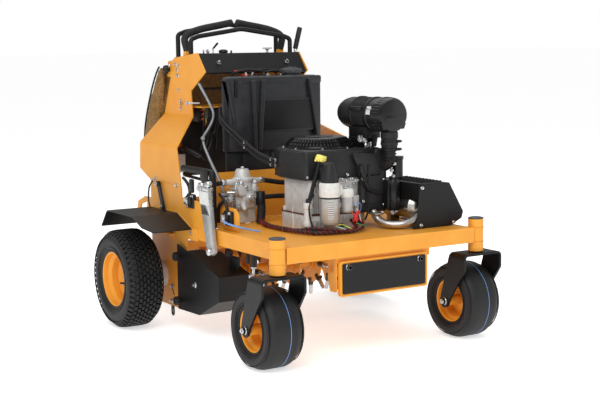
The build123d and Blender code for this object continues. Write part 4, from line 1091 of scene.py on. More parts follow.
def makeConsoleControls():
    black = bmesh.new()
    x, y = -83, 800
    addTurned(black, [(0, 0), (8, 0), (8, 8), (20, 10), (23, 15), (21, 22), (12, 26), (0, 27)],
              (x, y, topAt(y) + 0.5),
              "z", 32)
    addBlock(black, (-56, 776, topAt(776) - 1), (-22, 824, topAt(800) + 8), 3)
    addBar(black, (-40, 800, topAt(800) + 4), (-40, 798, topAt(800) + 22), 5, 4, 14, 1.5)
    addTurned(black, [(0, 0), (12, 0), (12, 5), (8, 8), (0, 8)], (-187, 802, topAt(802) + 0.3), "z", 24)
    addBlock(black, (20, 752, topAt(752) - 1), (90, 812, topAt(780) + 5), 2)
    finishPiece(black, "console_switches", knobPlastic, "chassis")
    bright = bmesh.new()
    addBar(bright, (-187, 802, topAt(802) + 7), (-189, 802, topAt(802) + 26), 3, 4.2, 14, 1)
    addTurned(bright, [(0, 0), (16, 0), (16, 2), (9, 3), (9, 5), (0, 5)], (-182, 770, topAt(770) + 0.3),
              "z", 28)
    addTurned(bright, [(7, 0), (17, 0), (16, 3), (7, 3)], (150, 780, topAt(780) + 0.3), "z", 28, closed=True)
    for spot in ((-230, 740), (-200, 900), (230, 740), (200, 900)):
        addBolt(bright, (spot[0], spot[1], topAt(spot[1])), (0, 0, 1), 9)
    finishPiece(bright, "console_bright_parts", zincSteel, "chassis")
    gauge = bmesh.new()
    addTurned(gauge, [(0, 6), (20, 6), (24, 4), (26, 0), (0, 0)], (55, 782, topAt(782) + 1), "z", 40)
    finishPiece(gauge, "console_hour_gauge", palePlastic, "chassis")
    for side, name in ((-1, "left"), (1, "right")):  # orange feet of the steering levers
        x = side * 257
        foot = bmesh.new()
        addPlate(foot, [(823, 1236), (853, 1236), (850, 1254), (846, 1264), (830, 1264), (826, 1254)], "x",
                 x - 15, x + 15, 3, 2)
        finishPiece(foot, name + "_lever_foot", orangePowderCoat, name + "_lever")


def leverRoute(side, low):
    x = 257 * side
    return [(x, 838, low), (x + side * 8, 838, 1290), (x + side * 15, 838, 1318), (x - side * 4, 838, 1340),
            (x - side * 56, 838, 1358), (x - side * 100, 838, 1368), (side * 60, 838, 1384), (side * 14,
                                                                                              838, 1393)]


def makeGrips():
    for side, name in ((-1, "left"), (1, "right")):
        shape = bmesh.new()
        route = leverRoute(side, 1262)
        addHose(shape, route, 17, 6)
        for spot, way in alongRoute(route, 9)[2:-1]:  # faint rings left by the foam's mandrel
            turn = Matrix.Translation(spot) @ way.to_track_quat("Z", "Y").to_matrix().to_4x4()
            bmesh.ops.create_cone(shape, cap_ends=True, segments=28, radius1=17.5 * mm, radius2=17.5 * mm,
                                  depth=3.2 * mm, matrix=turn)
        end = Vector(route[-1])
        addBar(shape, end + Vector((side * 6, 0, -2)), end + Vector((-side * 3, 0, 1.5)), 18.5, 16, 28, 4, 3)
        finishPiece(shape, name + "_foam_grip", gripFoam, name + "_lever",
                    [name + "_lever_grip"])


def makeBrakeGrip():
    shape = bmesh.new()
    start, end = Vector((294, 753, 1266)), Vector((318, 747, 1366))
    addBar(shape, start, end, 11.5, 12.5, 24, 5, 3)
    for step in range(9):
        spot = start.lerp(end, 0.12 + step * 0.09)
        addBar(shape, spot, spot + (end - start) * 0.05, 13, 13, 20, 1)
    finishPiece(shape, "brake_lever_grip", knobPlastic, "parking_brake")
    stem = bmesh.new()
    addBar(stem, (293, 750, 1238), (295, 753, 1270), 8, 8, 18, 1.5)
    addBolt(stem, (299, 745, 1205), (1, 0, 0), 16)
    finishPiece(stem, "brake_lever_stem", zincSteel, "parking_brake")


def makeThrottle():
    x, y = -138, 800
    top = topAt(y)
    shape = bmesh.new()
    addBar(shape, (x, y, top - 17), (x, y, top + 32), 2.6, sides=14)
    addTurned(shape, [(0, 0), (4.4, 0), (4.4, 8), (0, 9)], (x, y, top + 26), "z", 16)
    finishPiece(shape, "throttle_stem", zincSteel, "throttle", ["throttle_lever"])
    grip = bmesh.new()
    addBar(grip, (x - 1, y, top + 30), (x + 26, y, top + 58), 4.4, 5.4, 16, 2)
    finishPiece(grip, "throttle_grip", knobPlastic, "throttle")


def makeKeyAndChoke():
    x, y = -182, 770
    top = topAt(y)
    key = bmesh.new()
    addTurned(key, [(0, -14), (8.8, -14), (8.8, 2.5), (5, 3.5), (0, 3.5)], (x, y, top), "z", 28)
    addPlate(key, [(x - 4, top + 2), (x + 4, top + 2), (x + 5, top + 9), (x + 10, top + 13), (x + 10,
                                                                                              top + 22),
                   (x + 5, top + 26), (x - 5, top + 26), (x - 10, top + 22), (x - 10, top + 13), (x - 5,
                                                                                                  top + 9)],
             "y", y - 1.3, y + 1.3, 1.5, 0.5)
    finishPiece(key, "ignition_key_blade", zincSteel, "key", ["ignition_key"])
    x, y = 150, 780
    top = topAt(y)
    knob = bmesh.new()
    addTurned(knob, [(0, 0.5), (5.8, 0.5), (5.8, 20), (9, 21), (10, 24), (24, 26), (24, 30), (20, 33), (0,
                                                                                                        34)],
              (x, y, top), "z", 36)
    finishPiece(knob, "choke_knob_moulding", palePlastic, "choke", ["choke_knob"])


# Tower, side plates and their fasteners.

def makeTowerBolts():
    bolts = bmesh.new()
    right = bmesh.new()
    for y, z in ((918, 1198), (884, 1190), (904, 1170), (896, 1143), (886, 1075), (868, 1010), (866, 985),
                 (866, 1025)):
        addBolt(bolts, (-280, y, z), (-1, 0, 0), 13)
    addBar(bolts, (-300, 848, 1010), (-262, 848, 1010), 5, sides=14)
    addBar(bolts, (-300, 640, 1021), (-356, 660, 1021), 4.5, sides=14)
    addBolt(bolts, (-350, 660, 1021), (-1, 0, 0), 14)
    for y, z in ((783, 669), (559, 658), (412, 458), (627, 184), (640, 112), (365, 230)):
        addBolt(bolts, (-484 if y == 365 else -465, y, z), (-1, 0, 0), 15)
    for x in (-180, 180):
        addBolt(bolts, (x, -404.3, 391), (0, -1, 0), 17)
        addBolt(bolts, (x * 1.03, 655, 1205), (0, -1, 0.92), 14)
    joinShape(right, bolts.copy())
    finishPiece(bolts, "frame_bolt_heads", zincSteel, "chassis", ["frame_bolts"])
    finishPiece(flipped(right), "right_frame_bolt_heads", zincSteel, "chassis")


def starKnob(shape, x, y, z, side):
    addTurned(shape, [(0, side * 0.5), (10, side * 0.5), (11, side * 2), (11, side * 9), (0, side * 9)],
              (x, y, z),
              "x", 24)
    addTurned(shape, [(0, side * 8), (15, side * 8), (17, side * 11), (17, side * 25), (14, side * 29),
                      (7, side * 30),
                      (6, side * 27), (0, side * 27)], (x, y, z), "x", 32)
    for lobe in range(7):
        turn = lobe * 2 * math.pi / 7
        spot = Vector((x, y + 14 * math.cos(turn), z + 14 * math.sin(turn)))
        addBar(shape, spot + Vector((side * 9, 0, 0)), spot + Vector((side * 27, 0, 0)), 7.5, 6.8, 14, 2)


def makeStarKnobs():
    shape = bmesh.new()
    for side in (-1, 1):
        starKnob(shape, side * 280, 988, 1172, side)
        starKnob(shape, side * 484, 516, 340, side)
        starKnob(shape, side * 484, 516, 137, side)
    finishPiece(shape, "star_knob_mouldings", knobPlastic, "chassis", ["star_knobs"])


def makeLinkArm():
    shape = bmesh.new()
    for side in (-1, 1):
        x = side * 484
        addBar(shape, (x - side * 16, 731, 650), (x + side * 2, 731, 650), 11, sides=20, rounding=2)
    finishPiece(shape, "fender_link_arms", blackPowderCoat, "chassis")
    bolts = bmesh.new()
    for side in (-1, 1):
        addBolt(bolts, (side * 487, 730, 650), (side, 0, 0), 12)
        addBolt(bolts, (side * 487, 684, 548), (side, 0, 0), 12)
        addBolt(bolts, (side * 478, 790, 664), (side, 0, 0), 11)
    finishPiece(bolts, "fender_link_bolts", zincSteel, "chassis")
    cable = bmesh.new()
    addHose(cable, [(-480, 786, 656), (-486, 806, 640), (-487, 818, 600), (-487, 820, 560), (-486, 806,
                                                                                             536)], 3.6)
    addHose(cable, [(-470, 612, 92), (-470, 606, 60), (-470, 618, 46), (-470, 632, 60), (-470, 628, 92)], 4)
    addHose(cable, [(-472, 618, 184), (-478, 604, 170), (-476, 590, 150)], 2)
    finishPiece(cable, "left_tether_cables", hoseRubber, "chassis")


def makeActuator():
    # A tapered sheet-metal link: pale upper half with a blank label, darker below.
    x = spanOf("lift_actuator")[0].x + 16
    shape = bmesh.new()
    addPlate(shape, [(198, 676), (292, 678), (262, 560), (186, 560)], "x", x, x + 22, 6, 3)
    addPlate(shape, [(196, 674), (204, 684), (290, 688), (298, 678), (296, 664), (200, 660)], "x", x - 4,
             x + 26, 6, 4)
    addBar(shape, (x + 11, 216, 684), (x + 11, 216, 706), 17, 14, 24, 3)
    addBar(shape, (x + 11, 272, 684), (x + 11, 272, 696), 20, 18, 24, 3)
    finishPiece(shape, "lift_link_head", zincSteel, "chassis", ["lift_actuator"])
    lower = bmesh.new()
    addPlate(lower, [(189, 600), (273, 604), (222, 402), (190, 384), (160, 402)], "x", x + 1, x + 21, 8, 3)
    finishPiece(lower, "lift_link_blade", silverPaint, "chassis")
    label = bmesh.new()
    addPlate(label, [(201, 660), (286, 663), (273, 606), (193, 602)], "x", x - 1.2, x + 1, 4)
    finishPiece(label, "lift_link_label", palePlastic, "chassis")
    pin = bmesh.new()
    addTurned(pin, [(0, -14), (10, -13), (15, -8), (17, 0), (17, 8), (0, 8)], (x - 4, 188, 404), "x", 32)
    addBolt(pin, (x + 12, 200, 698), (0.1, -1, 0.1), 14)
    addBolt(pin, (x - 4, 272, 672), (-1, 0, 0), 16)
    finishPiece(pin, "lift_link_pin", zincSteel, "chassis")


def makeTubeRail():
    # The bent black tube beside the link, with its end plate and the dark rod behind it.
    shape = bmesh.new()
    addHose(shape, [(-449, 520, 738), (-449, 400, 738), (-449, 290, 738), (-449, 251, 738), (-449, 243, 722),
                    (-449, 243, 660), (-449, 243, 560), (-449, 243, 500)], 15.5, 5)
    addPlate(shape, [(250, 752), (310, 752), (320, 740), (320, 706), (306, 694), (262, 694), (250, 704)],
             "x", -470,
             -465, 8, 1)
    addHose(shape, [(-449, 243, 498), (-449, 243, 430), (-449, 243, 394)], 13, 4)
    addBar(shape, (-420, 560, 700), (-420, 250, 690), 7, sides=16)
    finishPiece(shape, "control_tube_rail", blackPowderCoat, "chassis", ["control_tube_frame"])
    rod = bmesh.new()
    addHose(rod, [(-300, 640, 1112), (-270, 590, 1020), (-262, 560, 964), (-300, 560, 900), (-337, 556, 860),
                  (-330, 490, 770), (-323, 420, 689), (-326, 360, 622)], 7, 3)
    addBolt(rod, (-337, 540, 866), (-0.4, -1, 0), 14)
    addBar(rod, (-350, 360, 622), (-300, 352, 622), 10, sides=18, rounding=2)
    finishPiece(rod, "pump_control_rod", galvanised, "chassis")


def makeSwitches():
    body = bmesh.new()
    front = bmesh.new()
    for x, y, z in ((-470, 424, 602), (-440, 137, 553)):
        addBlock(body, (x - 2, y - 36, z - 34), (x + 16, y + 30, z + 30), 6, 3)
        addBlock(body, (x - 14, y - 24, z - 20), (x, y + 20, z + 22), 5, 3)
        addBlock(front, (x - 24, y - 14, z - 16), (x - 12, y + 16, z + 16), 4, 2)
        addBolt(front, (x - 3, y - 28, z + 22), (-1, 0, 0), 10)
        addBolt(front, (x - 3, y + 22, z - 26), (-1, 0, 0), 10)
        addHose(body, [(x + 6, y + 8, z + 22), (x + 6, y + 10, z + 60), (x + 12, y + 60, z + 84),
                       (x + 18, y + 96, z + 92)], 7)
    addBlock(body, (-478, 388, 638), (-462, 416, 700), 6, 3)
    finishPiece(body, "safety_switch_bodies", mouldedPlastic, "chassis")
    finishPiece(front, "safety_switch_connectors", zincSteel, "chassis")
    wires = bmesh.new()
    addHose(wires, [(-466, 122, 546), (-470, 96, 538), (-440, 60, 526), (-400, 20, 512), (-360, -10, 506)], 4)
    finishPiece(wires, "left_switch_wire", bluePlastic, "chassis")
    plate = bmesh.new()
    addPlate(plate, [(60, 498), (210, 498), (210, 576), (190, 596), (90, 596), (60, 570)], "x", -424, -419,
             8, 1)
    finishPiece(plate, "switch_plate", orangePowderCoat, "chassis")


def makeTowerInside():
    # What is seen between the panels: a fuse block with wires, a rod and dark cable runs.
    fuse = bmesh.new()
    addBlock(fuse, (-240, 770, 925), (-190, 830, 994), 5, 2)
    for step in range(4):
        addBlock(fuse, (-235, 763, 931 + step * 16), (-195, 774, 942 + step * 16), 2)
    addBar(fuse, (-262, 700, 1084), (262, 700, 1084), 6, sides=14)
    random.seed(5)
    for step in range(9):
        x = -240 + step * 22
        addHose(fuse, [(x, 700, 985), (x + random.uniform(-20, 20), 716, 950), (x + random.uniform(-30, 30),
                                                                                746, 900),
                       (x + random.uniform(-20, 30), 756, 840), (x, 758, 790)], 5 + step % 3)
    finishPiece(fuse, "fuse_block", mouldedPlastic, "chassis")
    cover = bmesh.new()
    addBlock(cover, (-268, 884, 660), (268, 898, 985), 4)
    finishPiece(cover, "tower_inner_cover", mouldedPlastic, "chassis")
    colours = (("red", redPlastic), ("yellow", yellowPlastic), ("blue", bluePlastic))
    for index, (name, material) in enumerate(colours):
        shape = bmesh.new()
        for step in range(3):
            z = 934 + step * 22 + index * 6
            addHose(shape, [(-228 + index * 8, 766, z), (-230 + index * 10, 748, z + 8), (-218 + index * 8,
                                                                                          740, z - 12),
                            (-206, 762, z - 30)], 2.2, 2)
        finishPiece(shape, "fuse_wires_" + name, material, "chassis")


def makeHydraulicFilter():
    low, high = spanOf("hydraulic_filter")
    middle = (low + high) / 2
    shape = bmesh.new()
    addTurned(shape, [(0, low.z), (24, low.z), (33, low.z + 5), (37, low.z + 16), (37, 764), (38.5, 766),
                      (38.5, 774),
                      (36, 778), (0, 778)], (middle.x, middle.y, 0), "z", 44)
    finishPiece(shape, "hydraulic_filter_can", whiteEnamel, "chassis", ["hydraulic_filter"])
    head = bmesh.new()
    addTurned(head, [(0, 778.5), (34, 778.5), (34, 790), (28, 797), (0, 800)], (middle.x, middle.y, 0), "z",
              32)
    addHose(head, [(middle.x, middle.y - 20, 796), (middle.x - 4, middle.y - 50, 812), (middle.x + 20,
                                                                                        middle.y - 90, 800),
                   (middle.x + 60, middle.y - 120, 770)], 11, 4)
    addHose(head, [(middle.x + 10, middle.y + 10, 792), (middle.x + 50, middle.y + 30, 806),
                   (middle.x + 120, middle.y + 40, 790),
                   (middle.x + 160, middle.y + 20, 740)], 10, 4)
    finishPiece(head, "hydraulic_filter_head", mouldedPlastic, "chassis")


pump = {"x": -250, "y": 335}


def makePumps():
    x, y = pump["x"], pump["y"]
    shape = bmesh.new()
    addPlate(shape, [(x - 62, y - 40), (x - 30, y - 54), (x + 30, y - 54), (x + 62, y - 36), (x + 62, y + 40),
                     (x - 62, y + 40)], "z", 566, 640, 10, 5)
    addBlock(shape, (x - 44, y - 40, 497), (x + 44, y + 36, 570), 8, 3)
    addTurned(shape, [(0, 636), (46, 636), (48, 644), (44, 652), (42, 680), (46, 684), (46, 694), (36, 702),
                      (31, 730),
                      (26, 737), (0, 738)], (x, y, 0), "z", 40)
    for side in (-1, 1):
        addBar(shape, (x + side * 30, y, 680), (x + side * 86, y, 680), 17, 13, 20, 3)
        addBar(shape, (x + side * 50, y - 10, 606), (x + side * 84, y - 14, 604), 18, 14, 20, 3)
        addBar(shape, (x + side * 34, y - 48, 640), (x + side * 34, y - 48, 676), 13, 11, 18, 2)
        addBar(shape, (x + side * 46, y - 40, 560), (x + side * 46, y - 40, 598), 12, 12, 18, 2)
    addBar(shape, (x, y - 40, 612), (x, y - 84, 612), 22, 18, 24, 3)
    addBar(shape, (x - 26, y - 44, 590), (x - 30, y - 74, 560), 13, 11, 18, 2)
    addBlock(shape, (x + 14, y - 66, 570), (x + 46, y - 40, 618), 5)
    addBlock(shape, (x - 54, y - 62, 622), (x - 10, y - 40, 664), 6)
    for step in range(5):
        addBlock(shape, (x - 60 + step * 26, y - 58, 648), (x - 52 + step * 26, y + 40, 654), 2, 1)
    finishPiece(shape, "hydraulic_pump_casting", castAluminium, "chassis", ["hydro_pumps"])
    nuts = bmesh.new()
    for side in (-1, 1):
        addBar(nuts, (x + side * 84, y, 680), (x + side * 106, y, 680), 14, 14, 6, 1.5)
        addBar(nuts, (x + side * 82, y - 14, 604), (x + side * 102, y - 16, 604), 14, 14, 6, 1.5)
        addBolt(nuts, (x + side * 34, y - 48, 676), (0, 0, 1), 18)
        addBolt(nuts, (x + side * 46, y - 52, 580), (0, -1, 0), 12)
        addBolt(nuts, (x + side * 30, y - 30, 694), (side * 0.5, -0.4, 1), 11)
    addBolt(nuts, (x, y - 84, 612), (0, -1, 0), 22, 12)
    addBolt(nuts, (x - 30, y - 74, 560), (-0.1, -1, -0.4), 14, 9)
    addBolt(nuts, (x, y, 737), (0, 0, 1), 14, 9)
    for spot in ((-58, -60, 628), (-14, -62, 660), (52, -44, 632), (-50, -56, 572)):
        addBolt(nuts, (x + spot[0], y + spot[1], spot[2]), (0, -1, 0), 11)
    addHose(nuts, [(x - 60, y - 60, 690), (x - 80, y - 70, 660), (x - 70, y - 74, 630), (x - 40, y - 70,
                                                                                         616)], 4)
    addBar(nuts, (x - 96, y - 34, 640), (x - 60, y - 60, 640), 5, sides=14)
    finishPiece(nuts, "hydraulic_fittings", zincSteel, "chassis")
    springs = bmesh.new()
    coil = [(x - 78 + 7 * math.cos(step * 0.9), y - 62 + 7 * math.sin(step * 0.9),
             566 + step * 1.5) for step in range(46)]
    addHose(springs, coil, 1.6, 1)
    addBlock(springs, (x - 92, y - 70, 540), (x - 64, y - 50, 566), 3)
    addBar(springs, (x + 44, y - 86, 636), (x + 38, y - 92, 580), 20, 22, 24, 4)
    finishPiece(springs, "pump_arm_parts", boltBlack, "chassis")


def makeHoses():
    x, y = pump["x"], pump["y"]
    shape = bmesh.new()
    addHose(shape, [(x + 104, y, 680), (x + 150, y + 2, 672), (-40, 346, 660), (40, 352, 656), (120, 348,
                                                                                                652),
                    (180, 334, 636), (206, 330, 590), (210, 330, 500)], 11, 4)
    addHose(shape, [(x + 100, y - 16, 604), (-120, y - 22, 606), (-60, 314, 604), (20, 318, 598), (100, 316,
                                                                                                   594),
                    (150, 304, 576), (172, 300, 500)], 11, 4)
    addHose(shape, [(x + 44, y - 84, 640), (x + 40, y - 92, 600), (x + 42, y - 98, 560), (x + 30, y - 100,
                                                                                          500)], 19, 5)
    addHose(shape, [(x - 104, y, 680), (x - 130, y + 20, 676), (x - 134, y + 60, 650), (x - 120, y + 90, 600),
                    (x - 110, y + 96, 520)], 10, 4)
    addHose(shape, [(x - 100, y - 16, 604), (x - 122, y - 20, 594), (x - 128, y, 560), (x - 120, y + 10,
                                                                                        505)], 9, 4)
    finishPiece(shape, "hydraulic_hoses", hoseRubber, "chassis", ["hoses"])
    fuel = bmesh.new()
    for drop in (0, 22):
        addHose(fuel, [(-240, 550, 1002 - drop), (-262, 520, 980 - drop), (-264, 486, 944 - drop),
                       (-236, 430, 896 - drop), (-224, 350, 853 - drop), (-212, 262, 812 - drop),
                       (-206, 190, 796 - drop), (-204, 131, 786 - drop)], 7, 4)
    finishPiece(fuel, "fuel_hose_pair", hoseRubber, "chassis", ["fuel_hoses"])
    clamps = bmesh.new()
    for drop in (0, 22):
        addTurned(clamps, [(7.2, -5), (8.6, -5), (8.6, 5), (7.2, 5)], (-206, 150, 789 - drop), "y", 20,
                  closed=True)
        addBar(clamps, (-204, 132, 786 - drop), (-190, 132, 786 - drop), 8.5, 8.5, 18, 1)
        addTurned(clamps, [(7.2, -5), (8.6, -5), (8.6, 5), (7.2, 5)], (-224, 350, 853 - drop), "y", 20,
                  closed=True)
    finishPiece(clamps, "fuel_hose_clamps", zincSteel, "chassis")


makeTank()
makeTankCap()
makeTankFittings()
makeConsoleControls()
makeGrips()
makeBrakeGrip()
makeThrottle()
makeKeyAndChoke()
makeTowerBolts()
makeStarKnobs()
makeLinkArm()
makeActuator()
makeTubeRail()
makeSwitches()
makeTowerInside()
makeHydraulicFilter()
makePumps()
makeHoses()
print("tower ready")


# The operator's pad: foam under mottled vinyl, wrapped round the back of the tower.
pad = {"halfWidth": 312, "slotInner": 268, "slotOuter": 287, "wingInner": 296, "voxel": 6, "pressure": 4.0,
       "frames": 16, "cap": 7}
padBack = [(946, 1234), (990, 1216), (1060, 1168), (1113, 1100), (1155, 1024), (1197, 942), (1227, 850),
           (1227, 772)]
padFace = [(1126, 772), (1122, 830), (1070, 972), (1014, 1102), (988, 1148), (958, 1176), (944, 1206)]
padSlot = [(1062, 1166)] + padBack[3:] + [(1126, 772), (1122, 830), (1070, 972), (1062, 992)]
padEdge = [(1030, 1188)] + padBack[2:] + [(1126, 772), (1122, 830), (1070, 972), (1030, 1066)]
padWing = [(1022, 1126), (1072, 1120), (1146, 1020), (1190, 940), (1220, 850), (1220, 780), (1068, 780),
           (1028, 900),
           (1066, 962)]


def padVinyl():
    # Vinyl-coated cloth: a brown mottle of blots 8 to 25 mm across and dark flecks, with a leather grain.
    material, tree, shader, place = startMaterial("mottled_vinyl", {"Roughness": 0.62,
                                                                    "Specular IOR Level": 0.3})
    layers = []
    for size, detail, rough, dark, light, lightAt in ((22, 6.0, 0.7, "#5A3A18", "#96703A", 0.64),
                                                      (6, 5.0, 0.75, "#35230F", "#A67F46", 0.62)):
        blots = addNode(tree, "ShaderNodeTexNoise", None, {"Scale": 1000 / size, "Detail": detail,
                                                           "Roughness": rough},
                        {"Vector": place})
        ramp = addNode(tree, "ShaderNodeValToRGB", None, None, {"Fac": blots.outputs["Fac"]})
        for element, spot, colour in zip(ramp.color_ramp.elements, (0.36, lightAt), (dark, light)):
            element.position = spot
            element.color = linear(colour)
        layers.append(ramp.outputs["Color"])
    mixed = addNode(tree, "ShaderNodeMix", {"data_type": "RGBA"}, {0: 0.5}, {6: layers[0],
                                                                             7: layers[1]}).outputs[2]
    tree.links.new(mixed, shader.inputs["Base Color"])
    cells = addNode(tree, "ShaderNodeTexVoronoi", {"feature": "F1"}, {"Scale": 1000 / 2.6}, {"Vector": place})
    bump = addNode(tree, "ShaderNodeBump", None, {"Strength": 0.5, "Distance": 0.25 * mm},
                   {"Height": cells.outputs["Distance"]})
    tree.links.new(bump.outputs["Normal"], shader.inputs["Normal"])
    return material


def makePad():
    half, slotIn, slotOut = pad["halfWidth"], pad["slotInner"], pad["slotOuter"]
    shape = bmesh.new()
    addPlate(shape, padBack + padFace, "x", -slotIn, slotIn)
    for side in (-1, 1):
        for outline, inner, outer in ((padSlot, slotIn - 4, slotOut + 4), (padEdge, slotOut, half),
                                      (padWing, pad["wingInner"], half)):
            addPlate(shape, outline, "x", min(side * inner, side * outer), max(side * inner, side * outer))
    mesh = bpy.data.meshes.new("pad")
    shape.to_mesh(mesh)
    shape.free()
    piece = bpy.data.objects.new("operator_pad_cover", mesh)
    bpy.context.scene.collection.objects.link(piece)
    applyModifier(piece, "REMESH", {"mode": "VOXEL", "voxel_size": pad["voxel"] * mm})
    applyModifier(piece, "SMOOTH", {"factor": 0.6, "iterations": 5})
    inflate(piece)
    wrinkle(piece)
    applyModifier(piece, "SUBSURF", {"levels": 1, "render_levels": 1})
    for face in piece.data.polygons:
        face.use_smooth = True
    piece.data.materials.clear()
    piece.data.materials.append(padVinyl())
    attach(piece, "pad")
    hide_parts("operator_pad")


def applyModifier(piece, kind, settings):
    modifier = piece.modifiers.new(kind.title(), kind)
    for key, value in settings.items():
        setattr(modifier, key, value)
    graph = bpy.context.evaluated_depsgraph_get()
    mesh = bpy.data.meshes.new_from_object(piece.evaluated_get(graph))
    old = piece.data
    piece.modifiers.clear()
    piece.data = mesh
    bpy.data.meshes.remove(old)


def inflate(piece):
    # The foam presses its cover outwards; no point moves further than the cap.
    rest = [v.co.copy() for v in piece.data.vertices]
    cloth = piece.modifiers.new("Cloth", "CLOTH")
    cloth.settings.use_pressure = True
    cloth.settings.uniform_pressure_force = pad["pressure"]
    cloth.settings.effector_weights.gravity = 0
    cloth.settings.quality = 5
    scene = bpy.context.scene
    for step in range(1, pad["frames"] + 1):
        scene.frame_set(step)
    graph = bpy.context.evaluated_depsgraph_get()
    mesh = bpy.data.meshes.new_from_object(piece.evaluated_get(graph))
    piece.modifiers.clear()
    old = piece.data
    piece.data = mesh
    bpy.data.meshes.remove(old)
    cap = pad["cap"] * mm
    for vert, start in zip(mesh.vertices, rest):
        move = vert.co - start
        if move.length > cap:
            vert.co = start + move.normalized() * cap
    scene.frame_set(1)


def wrinkle(piece):
    # Soft dips where the cover pulls between its staples.
    for vert in piece.data.vertices:
        place = vert.co
        dip = noise.noise(Vector((place.x * 9, place.y * 6, place.z * 9))) * 1.6
        dip += noise.noise(Vector((place.x * 30, place.y * 18, place.z * 24))) * 0.5
        vert.co = place + vert.normal * dip * mm


def makePadTrim():
    # Piping along the pad's two side edges and its hinge tube.
    shape = bmesh.new()
    for side in (-1, 1):
        x = side * (pad["halfWidth"] - 2)
        addHose(shape, [(x, 1038, 1183)] + [(x, y, z) for y, z in padBack[2:]], 4.5, 4)
    finishPiece(shape, "operator_pad_piping", gripFoam, "pad")
    tube = bmesh.new()
    addBar(tube, (-230, 1110, 778), (230, 1110, 778), 12, sides=28)
    finishPiece(tube, "operator_pad_hinge_tube", blackPowderCoat, "pad")


# Platform, tine reel, belt and pulleys.

def makePlatform():
    mat = bmesh.new()
    high = spanOf("operator_platform")[1]
    addBlock(mat, (-268, 1036, 211), (268, high.y - 12, 215), 1.5)
    for step in range(11):
        y = 1050 + step * 28
        for lane in range(12):
            x = -242 + lane * 44
            addBlock(mat, (x - 16, y - 4, 214), (x + 16, y + 4, 218), 1.4, 1)
    finishPiece(mat, "platform_rubber_mat", hoseRubber, "platform")
    bolts = bmesh.new()
    for x in (-250, 250):
        for y in (1050, high.y - 26):
            addBolt(bolts, (x, y, 215), (0, 0, 1), 12)
    finishPiece(bolts, "platform_bolts", zincSteel, "platform")


reel = {"lanes": 6, "tines": 8, "reach": 150, "discRadius": 92}


def makeReel():
    shape = bmesh.new()
    y0, z0 = 255, 298
    addBar(shape, (-320, y0, z0), (320, y0, z0), 18, sides=32, rounding=2)
    holders = bmesh.new()
    tines = bmesh.new()
    for lane in range(reel["lanes"]):
        x = -275 + lane * 110
        addTurned(shape, [(18, -14), (32, -14), (34, -5), (reel["discRadius"] - 2, -4), (reel["discRadius"],
                                                                                         -2),
                          (reel["discRadius"], 2), (reel["discRadius"] - 2, 4), (34, 5), (32, 14), (18, 14)],
                  (x, y0, z0), "x", 48, closed=True)
        for tine in range(reel["tines"]):
            turn = math.radians(tine * 45 + lane * 15)
            way = Vector((0, math.cos(turn), math.sin(turn)))
            middle = Vector((x, y0, z0))
            addBar(holders, middle + way * 74, middle + way * 108, 12.5, 11, 20, 1.5)
            addBolt(holders, middle + way * 90 + Vector((11, 0, 0)), (1, 0, 0), 12)
            # a hollow coring spoon: outer wall, then the mouth cut at a slant
            addTurned(tines, [(0, 104), (9.2, 104), (9.2, 138), (7.6, reel["reach"] - 1), (5.4,
                                                                                           reel["reach"]),
                              (5.4, 130), (0, 128)], middle, "x", 18, direction=way)
    finishPiece(shape, "tine_shaft_and_discs", orangePowderCoat, "tine_shaft", ["tine_reel"])
    finishPiece(holders, "tine_holders", darkSteel, "tine_shaft")
    finishPiece(tines, "coring_tines", zincSteel, "tine_shaft")
    bearings = bmesh.new()
    for side in (-1, 1):
        addTurned(bearings, [(19, 0), (38, 0), (40, 2), (36, 7), (24, 13), (19, 13)], (side * 323, y0, z0),
                  "x", 40,
                  closed=True, direction=(side, 0, 0))
        for turn in (0.8, 2.4, 3.9, 5.5):
            addBolt(bearings, (side * 324, y0 + 32 * math.cos(turn), z0 + 32 * math.sin(turn)), (side, 0,
                                                                                                 0), 10)
    finishPiece(bearings, "reel_bearings", castAluminium, "tine_arms")


def makePulleys():
    for name, x, y, body in (("crank", 0, 86, "crankshaft"), ("pump", -250, 335, "pump_input")):
        shape = bmesh.new()
        z = 462
        addTurned(shape, [(0, z - 11), (20, z - 11), (22, z - 9), (44, z - 9), (50, z - 9), (50, z - 7),
                          (43.6, z - 5),
                          (43.6, z + 5), (50, z + 7), (50, z + 9), (44, z + 9), (24, z + 9), (22, z + 14),
                          (0, z + 14)], (x, y, 0), "z", 48)
        finishPiece(shape, name + "_pulley_rim", darkSteel, body)


makePad()
makePadTrim()
makePlatform()
makeReel()
makePulleys()
print("rear ready")


# Front bracket and small frame details.

def makeFrontDetails():
    # Weld beads at the pivot tubes.
    welds = bmesh.new()
    for side in (-1, 1):
        for z in (434, 495):
            addTurned(welds, [(31, z - 2.5), (35.5, z), (31, z + 2.5)], (side * 500, -380, 0), "z", 40,
                      closed=True)
    finishPiece(welds, "pivot_weld_beads", orangePowderCoat, "chassis")
    rim = bmesh.new()  # the rolled rim round the bracket's blank panel
    low, high = spanOf("front_panel")
    x0, x1, z0, z1 = low.x - 8, high.x + 8, low.z - 7, high.z + 7
    for a, b in (((x0, z0), (x1, z0)), ((x1, z0), (x1, z1)), ((x1, z1), (x0, z1)), ((x0, z1), (x0, z0))):
        addBar(rim, (a[0], -400, a[1]), (b[0], -400, b[1]), 4, sides=16, rounding=1)
    finishPiece(rim, "front_bracket_rim", orangePowderCoat, "chassis")


